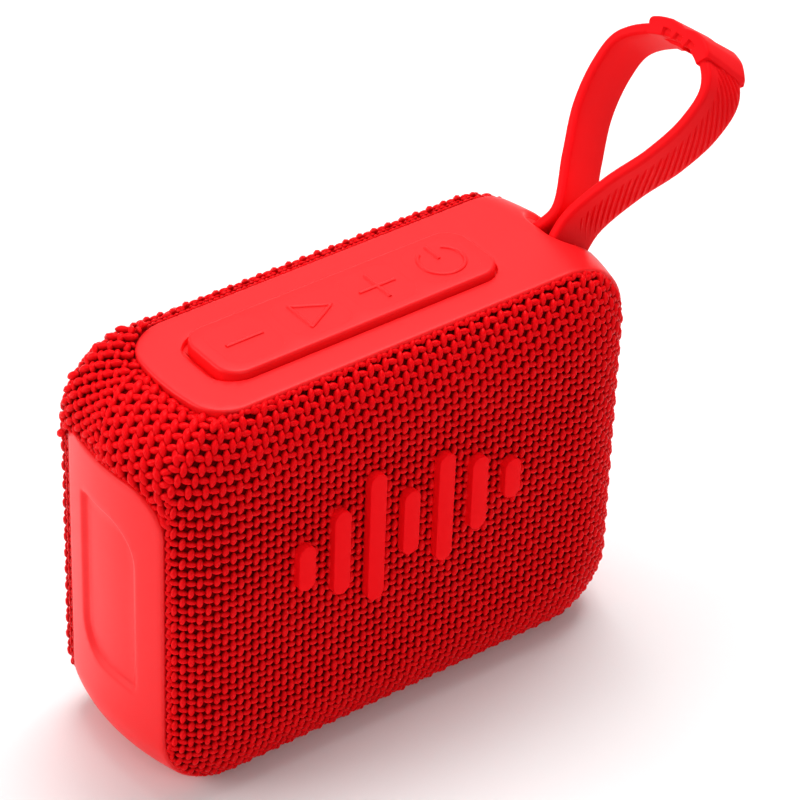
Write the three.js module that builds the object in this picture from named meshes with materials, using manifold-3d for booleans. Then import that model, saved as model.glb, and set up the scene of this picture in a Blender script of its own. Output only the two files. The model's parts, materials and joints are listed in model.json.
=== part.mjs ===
// Pocket speaker with a woven wrap, four press keys and a silicone wrist strap.
// Millimetres. +X runs along the width towards the strap, -Y is the front face, +Z is up.
// The origin lies on the resting face, under the middle of the body.
import * as THREE from "three";
import { mergeVertices } from "three/addons/utils/BufferGeometryUtils.js";
import Module from "manifold-3d";

const wasm = await Module();
wasm.setup();

// ---------------------------------------------------------------- driving dimensions
const HEIGHT = 74.7;
const EDGE_HALF_WIDTH = 47.1;          // half width where the bands meet the front and rear covers
const SIDE_BULGE = 2.3;                // how far the ends swell out at mid depth
const BAND_HALF_DEPTH = 13.9;          // the bands and corners lie within this depth
const FACE_RISE = 5.6;                 // depth of the pillowed edge of each cover
const FACE_INSET = { side: 12.4, top: 16.4, base: 14 };
const CORNER_RADIUS = 12.4;
const FACE_CORNER_RADIUS = 8;
const CORNER_STEPS = 6;
const FACE_STEPS = [0, 0.3, 0.55, 0.75, 0.9, 1];
const BAND_STEPS = [-9.3, -4.6, 0];    // depths of the cross-sections between the front edge and mid depth

const CLOTH_INSET = 0.5;
const SKIN_INSET = 1.9;                // inner side of the cloth and of the bands
const SHELL_INSET = 2.2;
const CAVITY_INSET = 4;
const GAP = 0.3;

const DECK = { left: -37.5, halfDepth: 13.6, radius: 3.6, endHeight: 12.5 };
const PAD = { left: -29.8, right: 26.2, halfDepth: 7.3, height: 1.35, radius: 4.2 };
const PAD_EDGE = 0.8;
const PAD_FOOT = 1.6;                  // how far the pad reaches below the deck
const KEY = { first: -21.7, pitch: 13.33, width: 11.2, depth: 10.8, radius: 3, foot: 1.4 };
const PLUNGER = { radius: 2, length: 4.4, sunk: 3.2, clearance: 0.7 };
const KEY_NAMES = ["minus", "play", "plus", "power"];
const RECESS = { halfDepth: 7.5, low: 20, high: 53, depth: 0.8, radius: 5 };

const STRAP = {
  width: 9.4, thickness: 2, lean: THREE.MathUtils.degToRad(37), pinDepth: 4.8, drift: -1.1, steps: 72,
};
const CLASP = { from: 0.4, to: 0.59, steps: 16, thickness: 1.3, overhang: 1 };
const PIN_RADIUS = 1;
const CUP = { length: 12, width: 10, depth: 8.6, wall: 1.3, pinEnds: 1 };

const DRIVER = { x: 0, z: 37.4, radius: 22, back: 0.6, holeFront: -10 };
const WINDOW = { halfWidth: 21, low: 20, high: 54, radius: 12, front: 10 };
const RADIATOR = { corner: 12, flatter: 4 };
const BOARD = { z: 64, thickness: 1.6, left: -27, right: 30, halfDepth: 11 };
const SIDE_BOARD = { left: 35.4, right: 36.8, halfDepth: 8, low: 17, high: 44 };
const SWITCH = { half: 3, top: 2.3, stem: 1.6, stemHeight: 1.2, stemCentre: 2.5 };
const PORT = { z: 30.5, width: 8.9, height: 3.3, radius: 1.6, wall: 0.4, left: 38, right: 45.6 };
const TONGUE = { left: 38.5, right: 43.5, halfDepth: 3.2, halfHeight: 0.35 };
const SOCKET_BLOCK = { left: 37.1, right: 38.2 };
const FLAP = { low: 23, high: 38, halfDepth: 5.4, radius: 2.5 };
const PLUG_RIB = { halfDepth: 3.6, halfHeight: 0.9, radius: 0.8, left: 45.9 };
const END_CUT = 40;                    // where the cuts through the right end start
const BATTERY = { x: -34.6, z: 37, radius: 7.1, length: 50, seatRadius: 7.4, seatDepth: 6, seatZ: 14.7 };
const CRADLE = { left: -41.4, right: -27.4, halfDepth: 8.8, low: 10.6, high: 14.6 };
const CRADLE_WALL = { left: -40.4, right: -28, front: 7.6, low: 12, high: 40 };
const SCREWS = [[-39.6, 67.2], [-39.6, 7.5], [39.6, 7.5], [42.3, 50]];
const SCREW = { radius: 0.9, headRadius: 1.9, tip: -6, shoulder: 9.3, shaftEnd: 9.8, top: 10.9, sides: 12 };
const BOSS = { radius: 2.7, reach: 9, bore: 1.2, boreEnd: -7, headBore: 2.2 };
const EMBLEM = {
  first: -23.4, pitch: 7.1, width: 3.3, centre: 43, thickness: 1.3, lengths: [9, 17, 26, 13, 22, 15, 8],
};

const FACE_Y = BAND_HALF_DEPTH + FACE_RISE;
const CORNER_X = EDGE_HALF_WIDTH - CORNER_RADIUS;

// ---------------------------------------------------------------- materials
const finish = (colour, roughness, metalness = 0) => () =>
  new THREE.MeshStandardMaterial({ color: colour, roughness, metalness });
const wovenRed = finish(0xd0141a, 0.85);
const softRed = finish(0xf0282e, 0.45);
const strapRed = finish(0xe81c24, 0.5);
const emblemRed = finish(0xff1e26, 0.4);
const shellPlastic = finish(0xa01016, 0.6);
const blackPlastic = finish(0x1b1b1d, 0.55);
const rubberBlack = finish(0x141414, 0.8);
const boardGreen = finish(0x1d5a38, 0.5);
const steel = finish(0xb9bcc0, 0.3, 1);
const paperGrey = finish(0x3a3a3c, 0.9);
const cellBlue = finish(0x2b4f96, 0.5);
const foamGrey = finish(0x55585c, 0.95);

// ---------------------------------------------------------------- solids and meshes
/** Turns a closed three.js geometry into a solid that can be joined and cut. */
function solid(geometry) {
  const bare = geometry.clone();
  bare.deleteAttribute("normal");
  bare.deleteAttribute("uv");
  const merged = mergeVertices(bare, 1e-4);
  const triangles = [];
  for (let i = 0; i < merged.index.count; i += 3) {
    const corner = [0, 1, 2].map((k) => merged.index.getX(i + k));
    if (new Set(corner).size === 3) triangles.push(...corner);
  }
  return new wasm.Manifold(new wasm.Mesh({
    numProp: 3,
    vertProperties: new Float32Array(merged.attributes.position.array),
    triVerts: new Uint32Array(triangles),
  }));
}

/** Gives a solid back as a three.js geometry. */
function geometryOf(manifold) {
  const mesh = manifold.getMesh();
  const geometry = new THREE.BufferGeometry();
  geometry.setAttribute("position", new THREE.BufferAttribute(new Float32Array(mesh.vertProperties), 3));
  geometry.setIndex(new THREE.BufferAttribute(new Uint32Array(mesh.triVerts), 1));
  return geometry;
}

const speaker = new THREE.Group();

/** Adds one named piece to a group, from a solid or a geometry. */
function piece(name, shape, material, parent = speaker) {
  const geometry = shape.isBufferGeometry ? shape : geometryOf(shape);
  geometry.computeVertexNormals();
  const mesh = new THREE.Mesh(geometry, material());
  mesh.name = name;
  parent.add(mesh);
  return mesh;
}

const boxBetween = (x0, x1, y0, y1, z0, z1) =>
  new THREE.BoxGeometry(x1 - x0, y1 - y0, z1 - z0).translate((x0 + x1) / 2, (y0 + y1) / 2, (z0 + z1) / 2);

/** A cylinder along Y between two depths. */
const rodAlongY = (x, z, radius, y0, y1, sides = 24) =>
  new THREE.CylinderGeometry(radius, radius, y1 - y0, sides).translate(x, (y0 + y1) / 2, z);

/** A cylinder standing on the line y = 0 between two heights. */
const uprightRod = (x, radius, z0, z1, sides) =>
  new THREE.CylinderGeometry(radius, radius, z1 - z0, sides)
    .rotateX(Math.PI / 2).translate(x, 0, (z0 + z1) / 2);

/** A rectangle with round corners, between two corners. */
function roundedShape(x0, y0, x1, y1, radius) {
  const shape = new THREE.Shape();
  shape.absarc(x1 - radius, y1 - radius, radius, 0, Math.PI / 2);
  shape.absarc(x0 + radius, y1 - radius, radius, Math.PI / 2, Math.PI);
  shape.absarc(x0 + radius, y0 + radius, radius, Math.PI, 1.5 * Math.PI);
  shape.absarc(x1 - radius, y0 + radius, radius, 1.5 * Math.PI, 2 * Math.PI);
  return shape;
}

const extrude = (shape, depth, curveSegments = 5, bevel = {}) =>
  new THREE.ExtrudeGeometry(shape, { depth, curveSegments, bevelEnabled: false, ...bevel });

/** A rounded rectangle in plan (X, Y), standing between two heights. */
const planPrism = (x0, y0, x1, y1, radius, z0, z1) =>
  extrude(roundedShape(x0, y0, x1, y1, radius), z1 - z0).translate(0, 0, z0);

/** A rounded rectangle seen from the side (Y, Z), running between two X. */
const sidePrism = (y0, z0, y1, z1, radius, x0, x1) =>
  extrude(roundedShape(y0, z0, y1, z1, radius), x1 - x0)
    .rotateX(Math.PI / 2).rotateZ(Math.PI / 2).translate(x0, 0, 0);

/** A shape drawn in X and Z, running between two depths. */
const facePrism = (shape, y0, y1, curveSegments = 5) =>
  extrude(shape, y1 - y0, curveSegments).rotateX(Math.PI / 2).translate(0, y1, 0);

// ---------------------------------------------------------------- the pillowed body form
/** How far the cover falls back from its flat middle, 0 there and 1 at its edge. */
const fall = (reach) => 0.8 * reach ** 2.2 + 0.2 * reach ** 8;

/** The cross-sections of the body from front to rear. */
function bodyLevels(inset) {
  const front = FACE_STEPS.map((reach) => ({
    y: -(FACE_Y - inset - FACE_RISE * fall(reach)), shrink: 1 - reach, bulge: 0,
  }));
  const band = BAND_STEPS.map((y) => ({ y, shrink: 0, bulge: 1 - (y / BAND_HALF_DEPTH) ** 2 }));
  const half = [...front, ...band];
  const mirrored = half.slice(0, -1).reverse().map((level) => ({ ...level, y: -level.y }));
  return [...half, ...mirrored];
}

/** The outline of one cross-section, a rounded rectangle in X and Z, clockwise from the top. */
function outline({ shrink, bulge }, inset) {
  const halfWidth = EDGE_HALF_WIDTH + SIDE_BULGE * bulge - FACE_INSET.side * shrink - inset;
  const top = HEIGHT - FACE_INSET.top * shrink - inset;
  const base = FACE_INSET.base * shrink + inset;
  const radius = THREE.MathUtils.lerp(CORNER_RADIUS, FACE_CORNER_RADIUS, shrink) - inset;
  const corners = [[1, top, 90], [1, base, 0], [-1, base, -90], [-1, top, -180]];
  return corners.flatMap(([side, edge, start]) => {
    const cx = side * (halfWidth - radius);
    const cz = edge === top ? top - radius : base + radius;
    return Array.from({ length: CORNER_STEPS + 1 }, (_, i) => {
      const angle = THREE.MathUtils.degToRad(start - (90 * i) / CORNER_STEPS);
      return [cx + radius * Math.cos(angle), cz + radius * Math.sin(angle)];
    });
  });
}

/** The whole body as a solid, drawn in by an inset: a lathe whose rings follow the outlines. */
function bodySolid(inset) {
  const levels = bodyLevels(inset);
  const first = levels[0];
  const last = levels[levels.length - 1];
  const profile = [new THREE.Vector2(0, first.y), ...levels.map(({ y }) => new THREE.Vector2(1, y)),
    new THREE.Vector2(0, last.y)];
  const outlines = levels.map((level) => outline(level, inset));
  const around = outlines[0].length;
  const lathe = new THREE.LatheGeometry(profile, around);
  const position = lathe.attributes.position;
  for (let i = 0; i <= around; i += 1) {
    levels.forEach((level, j) => {
      const [x, z] = outlines[j][i % around];
      position.setXYZ(i * profile.length + j + 1, x, level.y, z);
    });
    position.setXYZ(i * profile.length, 0, first.y, HEIGHT / 2);
    position.setXYZ((i + 1) * profile.length - 1, 0, last.y, HEIGHT / 2);
  }
  return solid(lathe);
}

const FAR = 80;
const slab = (y0, y1) => solid(boxBetween(-FAR, FAR, y0, y1, -FAR, 2 * FAR));

// ---------------------------------------------------------------- strap frame on the top right corner
// U runs out of the corner, V towards the rear, W across the strap.
const outward = new THREE.Vector3(Math.sin(STRAP.lean), 0, Math.cos(STRAP.lean));
const across = new THREE.Vector3(-Math.cos(STRAP.lean), 0, Math.sin(STRAP.lean));
const cornerCentre = new THREE.Vector3(CORNER_X + SIDE_BULGE, 0, HEIGHT - CORNER_RADIUS);
const strapOrigin = cornerCentre.clone().addScaledVector(outward, CORNER_RADIUS);
const strapFrame = new THREE.Matrix4()
  .makeBasis(outward, new THREE.Vector3(0, 1, 0), across).setPosition(strapOrigin);
const inStrapFrame = (geometry) => geometry.applyMatrix4(strapFrame);

/** A pin shape across the strap, at the depth of the strap's pivot. */
const crossRod = (radius, length) =>
  inStrapFrame(new THREE.CylinderGeometry(radius, radius, length, 16).rotateX(Math.PI / 2)
    .translate(-STRAP.pinDepth, 0, 0));

/** A box in the strap frame, by its reach along U, V and W. */
const strapBox = (u0, u1, halfV, halfW) => inStrapFrame(boxBetween(u0, u1, -halfV, halfV, -halfW, halfW));

// ---------------------------------------------------------------- covers, cloth and bands
const bodyOuter = bodySolid(0);
const bodyCloth = bodySolid(CLOTH_INSET);
const bodySkin = bodySolid(SKIN_INSET);
const bodyShell = bodySolid(SHELL_INSET);
const bodyCavity = bodySolid(CAVITY_INSET);
const cupSeat = solid(strapBox(-CUP.depth - CUP.wall - GAP, FAR / 2, CUP.length / 2 + CUP.wall + GAP,
  CUP.width / 2 + CUP.wall + GAP));
const cupMouth = solid(strapBox(-CUP.depth, FAR / 2, CUP.length / 2, CUP.width / 2));

/** The prisms that bound the top band, grown by a margin. */
function deckBounds(grow) {
  const plan = solid(planPrism(DECK.left - grow, -DECK.halfDepth - grow, FAR, DECK.halfDepth + grow,
    DECK.radius + grow, HEIGHT / 2, FAR + HEIGHT));
  const side = solid(sidePrism(-DECK.halfDepth - grow, DECK.endHeight - grow, DECK.halfDepth + grow,
    FAR + HEIGHT, DECK.radius + grow, 0, FAR));
  return plan.intersect(solid(boxBetween(-FAR, CORNER_X + 1, -FAR, FAR, 0, 3 * FAR)))
    .add(side.intersect(solid(boxBetween(CORNER_X, FAR, -FAR, FAR, -FAR, 3 * FAR))));
}

/** The same bounds turned half a turn about the middle of the body, for the lower band. */
const baseBounds = (grow) => deckBounds(grow).rotate([0, 180, 0]).translate([0, 0, HEIGHT]);

const coverShell = (y0, y1) => bodyShell.subtract(bodyCavity).intersect(slab(y0, y1)).subtract(cupSeat);

const keyX = (i) => KEY.first + KEY.pitch * i;

/** The four holes that let the key plungers through the covers. */
function plungerHoles() {
  const radius = PLUNGER.radius + PLUNGER.clearance;
  const holes = KEY_NAMES.map((_, i) => uprightRod(keyX(i), radius, HEIGHT - 9, HEIGHT + 3, 16));
  return wasm.Manifold.union(holes.map(solid));
}

const portHole = () => solid(sidePrism(-PORT.width / 2 - GAP, PORT.z - PORT.height / 2 - GAP,
  PORT.width / 2 + GAP, PORT.z + PORT.height / 2 + GAP, PORT.radius, END_CUT, FAR));

/** A tube for a screw, standing against the wall of a cover. */
const boss = (x, z, y0, y1) => solid(rodAlongY(x, z, BOSS.radius, y0, y1, SCREW.sides));

/** A round hole for a screw between two depths. */
const screwHole = (x, z, radius, y0, y1) => solid(rodAlongY(x, z, radius, y0, y1, SCREW.sides));

function frontShell() {
  let shell = coverShell(-FAR, -GAP / 2);
  SCREWS.forEach(([x, z]) => {
    shell = shell.add(boss(x, z, -BOSS.reach, -GAP / 2))
      .subtract(screwHole(x, z, BOSS.bore, BOSS.boreEnd, 1));
  });
  return shell.subtract(solid(rodAlongY(DRIVER.x, DRIVER.z, DRIVER.radius, -FAR, DRIVER.holeFront, 36)))
    .subtract(plungerHoles()).subtract(portHole());
}

function rearShell() {
  let shell = coverShell(GAP / 2, FAR);
  SCREWS.forEach(([x, z]) => {
    shell = shell.add(boss(x, z, GAP / 2, BOSS.reach))
      .subtract(screwHole(x, z, BOSS.bore, -1, BOSS.reach + 1))
      .subtract(screwHole(x, z, BOSS.headBore, BOSS.reach, FAR));
  });
  const opening = roundedShape(-WINDOW.halfWidth, WINDOW.low, WINDOW.halfWidth, WINDOW.high, WINDOW.radius);
  const window = facePrism(opening, WINDOW.front, FAR);
  return shell.subtract(solid(window)).subtract(plungerHoles()).subtract(portHole());
}

const clothSkin = () => bodyCloth.subtract(bodySkin);
const cornerCloth = (topLeft) => clothSkin()
  .intersect(slab(-DECK.halfDepth, DECK.halfDepth))
  .subtract(deckBounds(GAP)).subtract(baseBounds(GAP))
  .intersect(solid(topLeft
    ? boxBetween(-FAR, 0, -FAR, FAR, HEIGHT / 2, FAR + HEIGHT)
    : boxBetween(0, FAR, -FAR, FAR, -FAR, HEIGHT / 2)));

function buildWrap() {
  const seam = DECK.halfDepth + GAP;
  piece("front_cloth", clothSkin().intersect(slab(-FAR, -seam)), wovenRed);
  piece("rear_cloth", clothSkin().intersect(slab(seam, FAR)), wovenRed);
  piece("corner_cloth_upper", cornerCloth(true), wovenRed);
  piece("corner_cloth_lower", cornerCloth(false), wovenRed);
}

/** The top band: over the deck, round the strap corner and down the right end. */
function topBand() {
  const padSeat = solid(planPrism(PAD.left - GAP, -PAD.halfDepth - GAP, PAD.right + GAP, PAD.halfDepth + GAP,
    PAD.radius + GAP, HEIGHT - 8, HEIGHT + 8));
  const flapSeat = solid(sidePrism(-FLAP.halfDepth - GAP, FLAP.low - GAP, FLAP.halfDepth + GAP,
    FLAP.high + GAP, FLAP.radius + GAP, END_CUT, FAR));
  return bodyOuter.subtract(bodySkin).intersect(deckBounds(0)).subtract(padSeat).subtract(cupMouth)
    .subtract(flapSeat);
}

/** The lower band: down the left end with its shallow recess, and along the base. */
function baseBand() {
  const recess = solid(sidePrism(-RECESS.halfDepth, RECESS.low, RECESS.halfDepth, RECESS.high, RECESS.radius,
    -FAR, -EDGE_HALF_WIDTH - SIDE_BULGE + RECESS.depth));
  return bodyOuter.subtract(bodySkin).intersect(baseBounds(0)).subtract(recess);
}

function buildCovers() {
  piece("front_shell", frontShell(), shellPlastic);
  piece("rear_shell", rearShell(), shellPlastic);
  piece("top_band", topBand(), softRed);
  piece("base_band", baseBand(), softRed);
}

// ---------------------------------------------------------------- keys, pad and boards
const keyPlate = (i, grow, z0, z1) => planPrism(keyX(i) - KEY.width / 2 - grow, -KEY.depth / 2 - grow,
  keyX(i) + KEY.width / 2 + grow, KEY.depth / 2 + grow, KEY.radius + grow, z0, z1);

function buildPad() {
  const foot = HEIGHT - PAD_FOOT;
  const high = HEIGHT + PAD.height;
  const shape = roundedShape(PAD.left + PAD_EDGE, -PAD.halfDepth + PAD_EDGE, PAD.right - PAD_EDGE,
    PAD.halfDepth - PAD_EDGE, PAD.radius - PAD_EDGE);
  const bevel = { bevelEnabled: true, bevelSize: PAD_EDGE, bevelThickness: PAD_EDGE, bevelSegments: 1 };
  let pad = solid(extrude(shape, high - foot - 2 * PAD_EDGE, 5, bevel).translate(0, 0, foot + PAD_EDGE));
  KEY_NAMES.forEach((name, i) => {
    pad = pad.subtract(solid(keyPlate(i, GAP, foot - 5, high + 5)));
    const low = HEIGHT - PLUNGER.sunk - PLUNGER.length / 2;
    const plunger = uprightRod(keyX(i), PLUNGER.radius, low, low + PLUNGER.length, 16);
    piece(`key_${name}`, solid(keyPlate(i, 0, HEIGHT - KEY.foot, high)).add(solid(plunger)), softRed);
  });
  piece("button_pad", pad, softRed);
}

function buildBoards() {
  const top = BOARD.z + BOARD.thickness;
  piece("main_board", boxBetween(BOARD.left, BOARD.right, -BOARD.halfDepth, BOARD.halfDepth, BOARD.z, top),
    boardGreen);
  KEY_NAMES.forEach((name, i) => {
    const body = boxBetween(keyX(i) - SWITCH.half, keyX(i) + SWITCH.half, -SWITCH.half, SWITCH.half,
      top + GAP, top + SWITCH.top);
    const stemLow = top + SWITCH.stemCentre - SWITCH.stemHeight / 2;
    const stem = uprightRod(keyX(i), SWITCH.stem, stemLow, stemLow + SWITCH.stemHeight, 12);
    piece(`switch_${name}`, solid(body).add(solid(stem)), blackPlastic);
  });
  piece("side_board", boxBetween(SIDE_BOARD.left, SIDE_BOARD.right, -SIDE_BOARD.halfDepth,
    SIDE_BOARD.halfDepth, SIDE_BOARD.low, SIDE_BOARD.high), boardGreen);
  piece("port_socket", portSocket(), steel);
}

/** A charging inlet: a flattened tube open towards the end of the body, with its contact tongue. */
function portSocket() {
  const half = PORT.width / 2;
  const low = PORT.z - PORT.height / 2;
  const high = PORT.z + PORT.height / 2;
  const { wall } = PORT;
  const tube = solid(sidePrism(-half, low, half, high, PORT.radius, PORT.left, PORT.right));
  const bore = solid(sidePrism(-half + wall, low + wall, half - wall, high - wall, PORT.radius - wall,
    PORT.left + 1, FAR));
  const tongue = solid(boxBetween(TONGUE.left, TONGUE.right, -TONGUE.halfDepth, TONGUE.halfDepth,
    PORT.z - TONGUE.halfHeight, PORT.z + TONGUE.halfHeight));
  const block = solid(boxBetween(SOCKET_BLOCK.left, SOCKET_BLOCK.right, -half, half, low, high));
  return tube.subtract(bore).add(tongue).add(block);
}

/** The port flap in the right end, with the plug rib that seals the inlet. */
function buildFlap() {
  const inner = EDGE_HALF_WIDTH + SIDE_BULGE - SKIN_INSET;
  const plate = solid(sidePrism(-FLAP.halfDepth, FLAP.low, FLAP.halfDepth, FLAP.high, FLAP.radius,
    inner, FAR)).intersect(bodyOuter);
  const rib = solid(sidePrism(-PLUG_RIB.halfDepth, PORT.z - PLUG_RIB.halfHeight, PLUG_RIB.halfDepth,
    PORT.z + PLUG_RIB.halfHeight, PLUG_RIB.radius, PLUG_RIB.left, inner + GAP));
  piece("port_flap", plate.add(rib), softRed);
}

// ---------------------------------------------------------------- sound parts
/** A body of revolution about a line along Y through the driver's centre. */
const turned = (points, sides = 28) =>
  new THREE.LatheGeometry(points.map(([r, y]) => new THREE.Vector2(r, y + DRIVER.back)), sides)
    .translate(DRIVER.x, 0, DRIVER.z);

function buildDriver() {
  piece("driver_gasket", turned([[22.4, -15.1], [24.8, -15.1], [24.8, -14.3], [22.4, -14.3], [22.4, -15.1]]),
    foamGrey);
  piece("driver_basket", turned([[21, -14], [24.8, -14], [24.8, -12.6], [20.6, -12.2], [12, -4], [12, -2.6],
    [9.8, -2.6], [9.8, -4.4], [18.8, -12.6], [21, -14]]), blackPlastic);
  piece("driver_magnet", turned([[0, -2.2], [12.5, -2.2], [12.5, 4], [0, 4], [0, -2.2]]), steel);
  piece("driver_surround", turned([[18.4, -15], [20, -15.8], [21.6, -15], [20.7, -14.4], [19.3, -14.6],
    [18.4, -15]]), rubberBlack);
  piece("driver_cone", turned([[6.3, -9], [18, -14.6], [18, -13.8], [6.3, -8.2], [6.3, -9]]), paperGrey);
  piece("dust_cap", turned([[0, -11.6], [3.2, -11], [6, -9.6], [6, -8.9], [0, -10.6], [0, -11.6]], 24),
    paperGrey);
  piece("voice_coil", turned([[5.2, -8.6], [6, -8.6], [6, -3.6], [5.2, -3.6], [5.2, -8.6]], 24), steel);
}

/** A rounded shape about the driver's centre, a little wider than it is tall. */
function racetrackShape(half, radius) {
  const tall = half - RADIATOR.flatter;
  return roundedShape(-half, DRIVER.z - tall, half, DRIVER.z + tall, radius);
}

/** A racetrack plate or ring between two depths. */
function racetrack(outer, inner, y0, y1) {
  const shape = racetrackShape(outer, RADIATOR.corner);
  if (inner > 0) shape.holes.push(racetrackShape(inner, RADIATOR.corner - 1));
  return facePrism(shape, y0, y1);
}

function buildRadiator() {
  piece("radiator_frame", racetrack(23, 20.5, 13.4, 15.2), blackPlastic);
  piece("radiator_surround", racetrack(20.2, 17, 14.2, 15), rubberBlack);
  piece("radiator_plate", racetrack(16.7, 0, 13.8, 15.4), steel);
}

// ---------------------------------------------------------------- power and fasteners
function buildPower() {
  const { x, z, length, seatZ, seatDepth } = BATTERY;
  piece("battery_cell", uprightRod(x, BATTERY.radius, z - length / 2, z + length / 2, 28), cellBlue);
  const cradle = solid(boxBetween(CRADLE.left, CRADLE.right, -CRADLE.halfDepth, CRADLE.halfDepth, CRADLE.low,
    CRADLE.high));
  const seat = solid(uprightRod(x, BATTERY.seatRadius, seatZ - seatDepth / 2, seatZ + seatDepth / 2, 28));
  const wall = solid(boxBetween(CRADLE_WALL.left, CRADLE_WALL.right, CRADLE_WALL.front, CRADLE.halfDepth,
    CRADLE_WALL.low, CRADLE_WALL.high));
  piece("battery_cradle", cradle.subtract(seat).add(wall), blackPlastic);
}

function buildScrews() {
  SCREWS.forEach(([x, z], i) => {
    const shaft = solid(rodAlongY(x, z, SCREW.radius, SCREW.tip, SCREW.shaftEnd, SCREW.sides));
    const head = solid(rodAlongY(x, z, SCREW.headRadius, SCREW.shoulder, SCREW.top, SCREW.sides));
    piece(`cover_screw_${i + 1}`, shaft.add(head), steel);
  });
}

// ---------------------------------------------------------------- strap, pin and anchor
/** The middle line of the strap in its own frame: U out of the corner, V towards the rear. */
const strapLine = new THREE.CatmullRomCurve3([
  [-7.2, 0], [-6.4, -1.8], [-4.8, -2.4], [-2.4, -2.3], [2.8, -1.6], [11.8, -5.4], [19.6, -10], [27.4, -12.9],
  [33.8, -12.9], [38, -8.7], [39, -2.2], [36.8, 4.6], [32.8, 9.1], [27, 10], [19.7, 8.9], [11.6, 5.3],
  [2.8, 1.2], [-2.4, 2.3], [-4.8, 2.4], [-6.4, 1.8],
].map(([u, v]) => {
  const drift = STRAP.drift * THREE.MathUtils.smoothstep(u, -STRAP.pinDepth, 3);
  return new THREE.Vector3(u, v + drift, 0);
}), true, "centripetal");

/** Points beside the strap's middle line, at a signed distance to the outside of the loop. */
function besideStrap(from, to, steps, distance) {
  return Array.from({ length: steps + 1 }, (_, i) => {
    const at = from + ((to - from) * i) / steps;
    const point = strapLine.getPointAt(((at % 1) + 1) % 1);
    const along = strapLine.getTangentAt(((at % 1) + 1) % 1);
    return new THREE.Vector2(point.x + along.y * distance, point.y - along.x * distance);
  });
}

/** A flat shape in U and V, given its width across the strap. */
const strapPlate = (shape, width) => inStrapFrame(extrude(shape, width).translate(0, 0, -width / 2));

function buildStrap() {
  const { steps } = STRAP;
  const half = STRAP.thickness / 2;
  const ring = new THREE.Shape(besideStrap(0, 1, steps, half).slice(0, -1));
  ring.holes.push(new THREE.Path(besideStrap(0, 1, steps, -half).slice(0, -1)));
  piece("strap_band", strapPlate(ring, STRAP.width), strapRed);
  const lower = besideStrap(CLASP.from, CLASP.to, CLASP.steps, half + GAP).reverse();
  const clasp = [...besideStrap(CLASP.from, CLASP.to, CLASP.steps, half + GAP + CLASP.thickness), ...lower];
  piece("strap_clasp", strapPlate(new THREE.Shape(clasp), STRAP.width + CLASP.overhang), strapRed);
  piece("strap_pin", crossRod(PIN_RADIUS, CUP.width + CUP.pinEnds), steel);
}

/** The cup that lines the strap slot and holds the ends of the pin. */
function buildCup() {
  const block = solid(strapBox(-CUP.depth - CUP.wall, 0, CUP.length / 2 + CUP.wall,
    CUP.width / 2 + CUP.wall));
  const sockets = solid(crossRod(PIN_RADIUS + GAP, CUP.width + CUP.pinEnds + 2 * GAP));
  piece("strap_cup", block.subtract(cupMouth).subtract(sockets).intersect(bodyShell), shellPlastic);
}

// ---------------------------------------------------------------- emblem
/** Seven level bars on the front, each a piece of its own. */
function buildEmblem() {
  const back = -FACE_Y + CLOTH_INSET - GAP;
  EMBLEM.lengths.forEach((length, i) => {
    const x = EMBLEM.first + EMBLEM.pitch * i;
    const bar = roundedShape(x - EMBLEM.width / 2, EMBLEM.centre - length / 2, x + EMBLEM.width / 2,
      EMBLEM.centre + length / 2, EMBLEM.width / 2 - 0.01);
    piece(`emblem_bar_${i + 1}`, facePrism(bar, back - EMBLEM.thickness, back, 3), emblemRed);
  });
}

buildCovers();
buildWrap();
buildPad();
buildBoards();
buildFlap();
buildDriver();
buildRadiator();
buildPower();
buildScrews();
buildCup();
buildStrap();
buildEmblem();

export default speaker;
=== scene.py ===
"""Pocket speaker: woven wrap, satin bands, a silicone key pad and a ribbed wrist strap.

Sizes in this script are in millimetres and become metres where a mesh is made.
+X runs along the width towards the strap, -Y is the front and +Z is up.
"""
import json
import logging
import math
from dataclasses import dataclass, field, fields
from enum import Enum
from typing import Callable, Sequence

import bpy
import numpy as np
from mathutils import Matrix, Vector
from mathutils.geometry import delaunay_2d_cdt
from mathutils.kdtree import KDTree

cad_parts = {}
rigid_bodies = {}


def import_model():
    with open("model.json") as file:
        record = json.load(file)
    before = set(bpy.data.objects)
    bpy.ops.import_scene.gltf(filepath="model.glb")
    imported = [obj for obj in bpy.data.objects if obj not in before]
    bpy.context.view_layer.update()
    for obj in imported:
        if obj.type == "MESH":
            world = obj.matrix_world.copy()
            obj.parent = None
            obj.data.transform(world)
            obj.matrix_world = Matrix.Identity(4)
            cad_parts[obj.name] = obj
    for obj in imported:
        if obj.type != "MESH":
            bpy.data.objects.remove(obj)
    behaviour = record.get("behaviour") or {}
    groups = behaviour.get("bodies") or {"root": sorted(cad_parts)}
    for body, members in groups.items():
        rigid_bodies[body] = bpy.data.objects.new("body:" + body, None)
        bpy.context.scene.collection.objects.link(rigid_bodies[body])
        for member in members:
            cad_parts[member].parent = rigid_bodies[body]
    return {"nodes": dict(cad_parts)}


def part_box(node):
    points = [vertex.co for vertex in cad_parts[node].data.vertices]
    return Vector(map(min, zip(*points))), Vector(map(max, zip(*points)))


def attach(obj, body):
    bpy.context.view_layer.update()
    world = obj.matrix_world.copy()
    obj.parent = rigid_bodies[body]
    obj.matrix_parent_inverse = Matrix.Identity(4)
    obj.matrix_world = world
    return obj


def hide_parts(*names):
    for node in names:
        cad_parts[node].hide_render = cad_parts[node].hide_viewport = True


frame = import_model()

LOG = logging.getLogger("speaker")
MM = 0.001
HOUSING = "housing"
KEY_NAMES = ("minus", "play", "plus", "power")
PAD_RADIUS = 4.2
EMBLEM_BARS = 7
COAT_ROUGHNESS = 0.25
YARN_SEED = 11
SOFT_RADIUS = (0.0012, 0.0002, 0.0002)  # how far light wanders under the skin, for red, green and blue
Colour = tuple[float, float, float]
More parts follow.
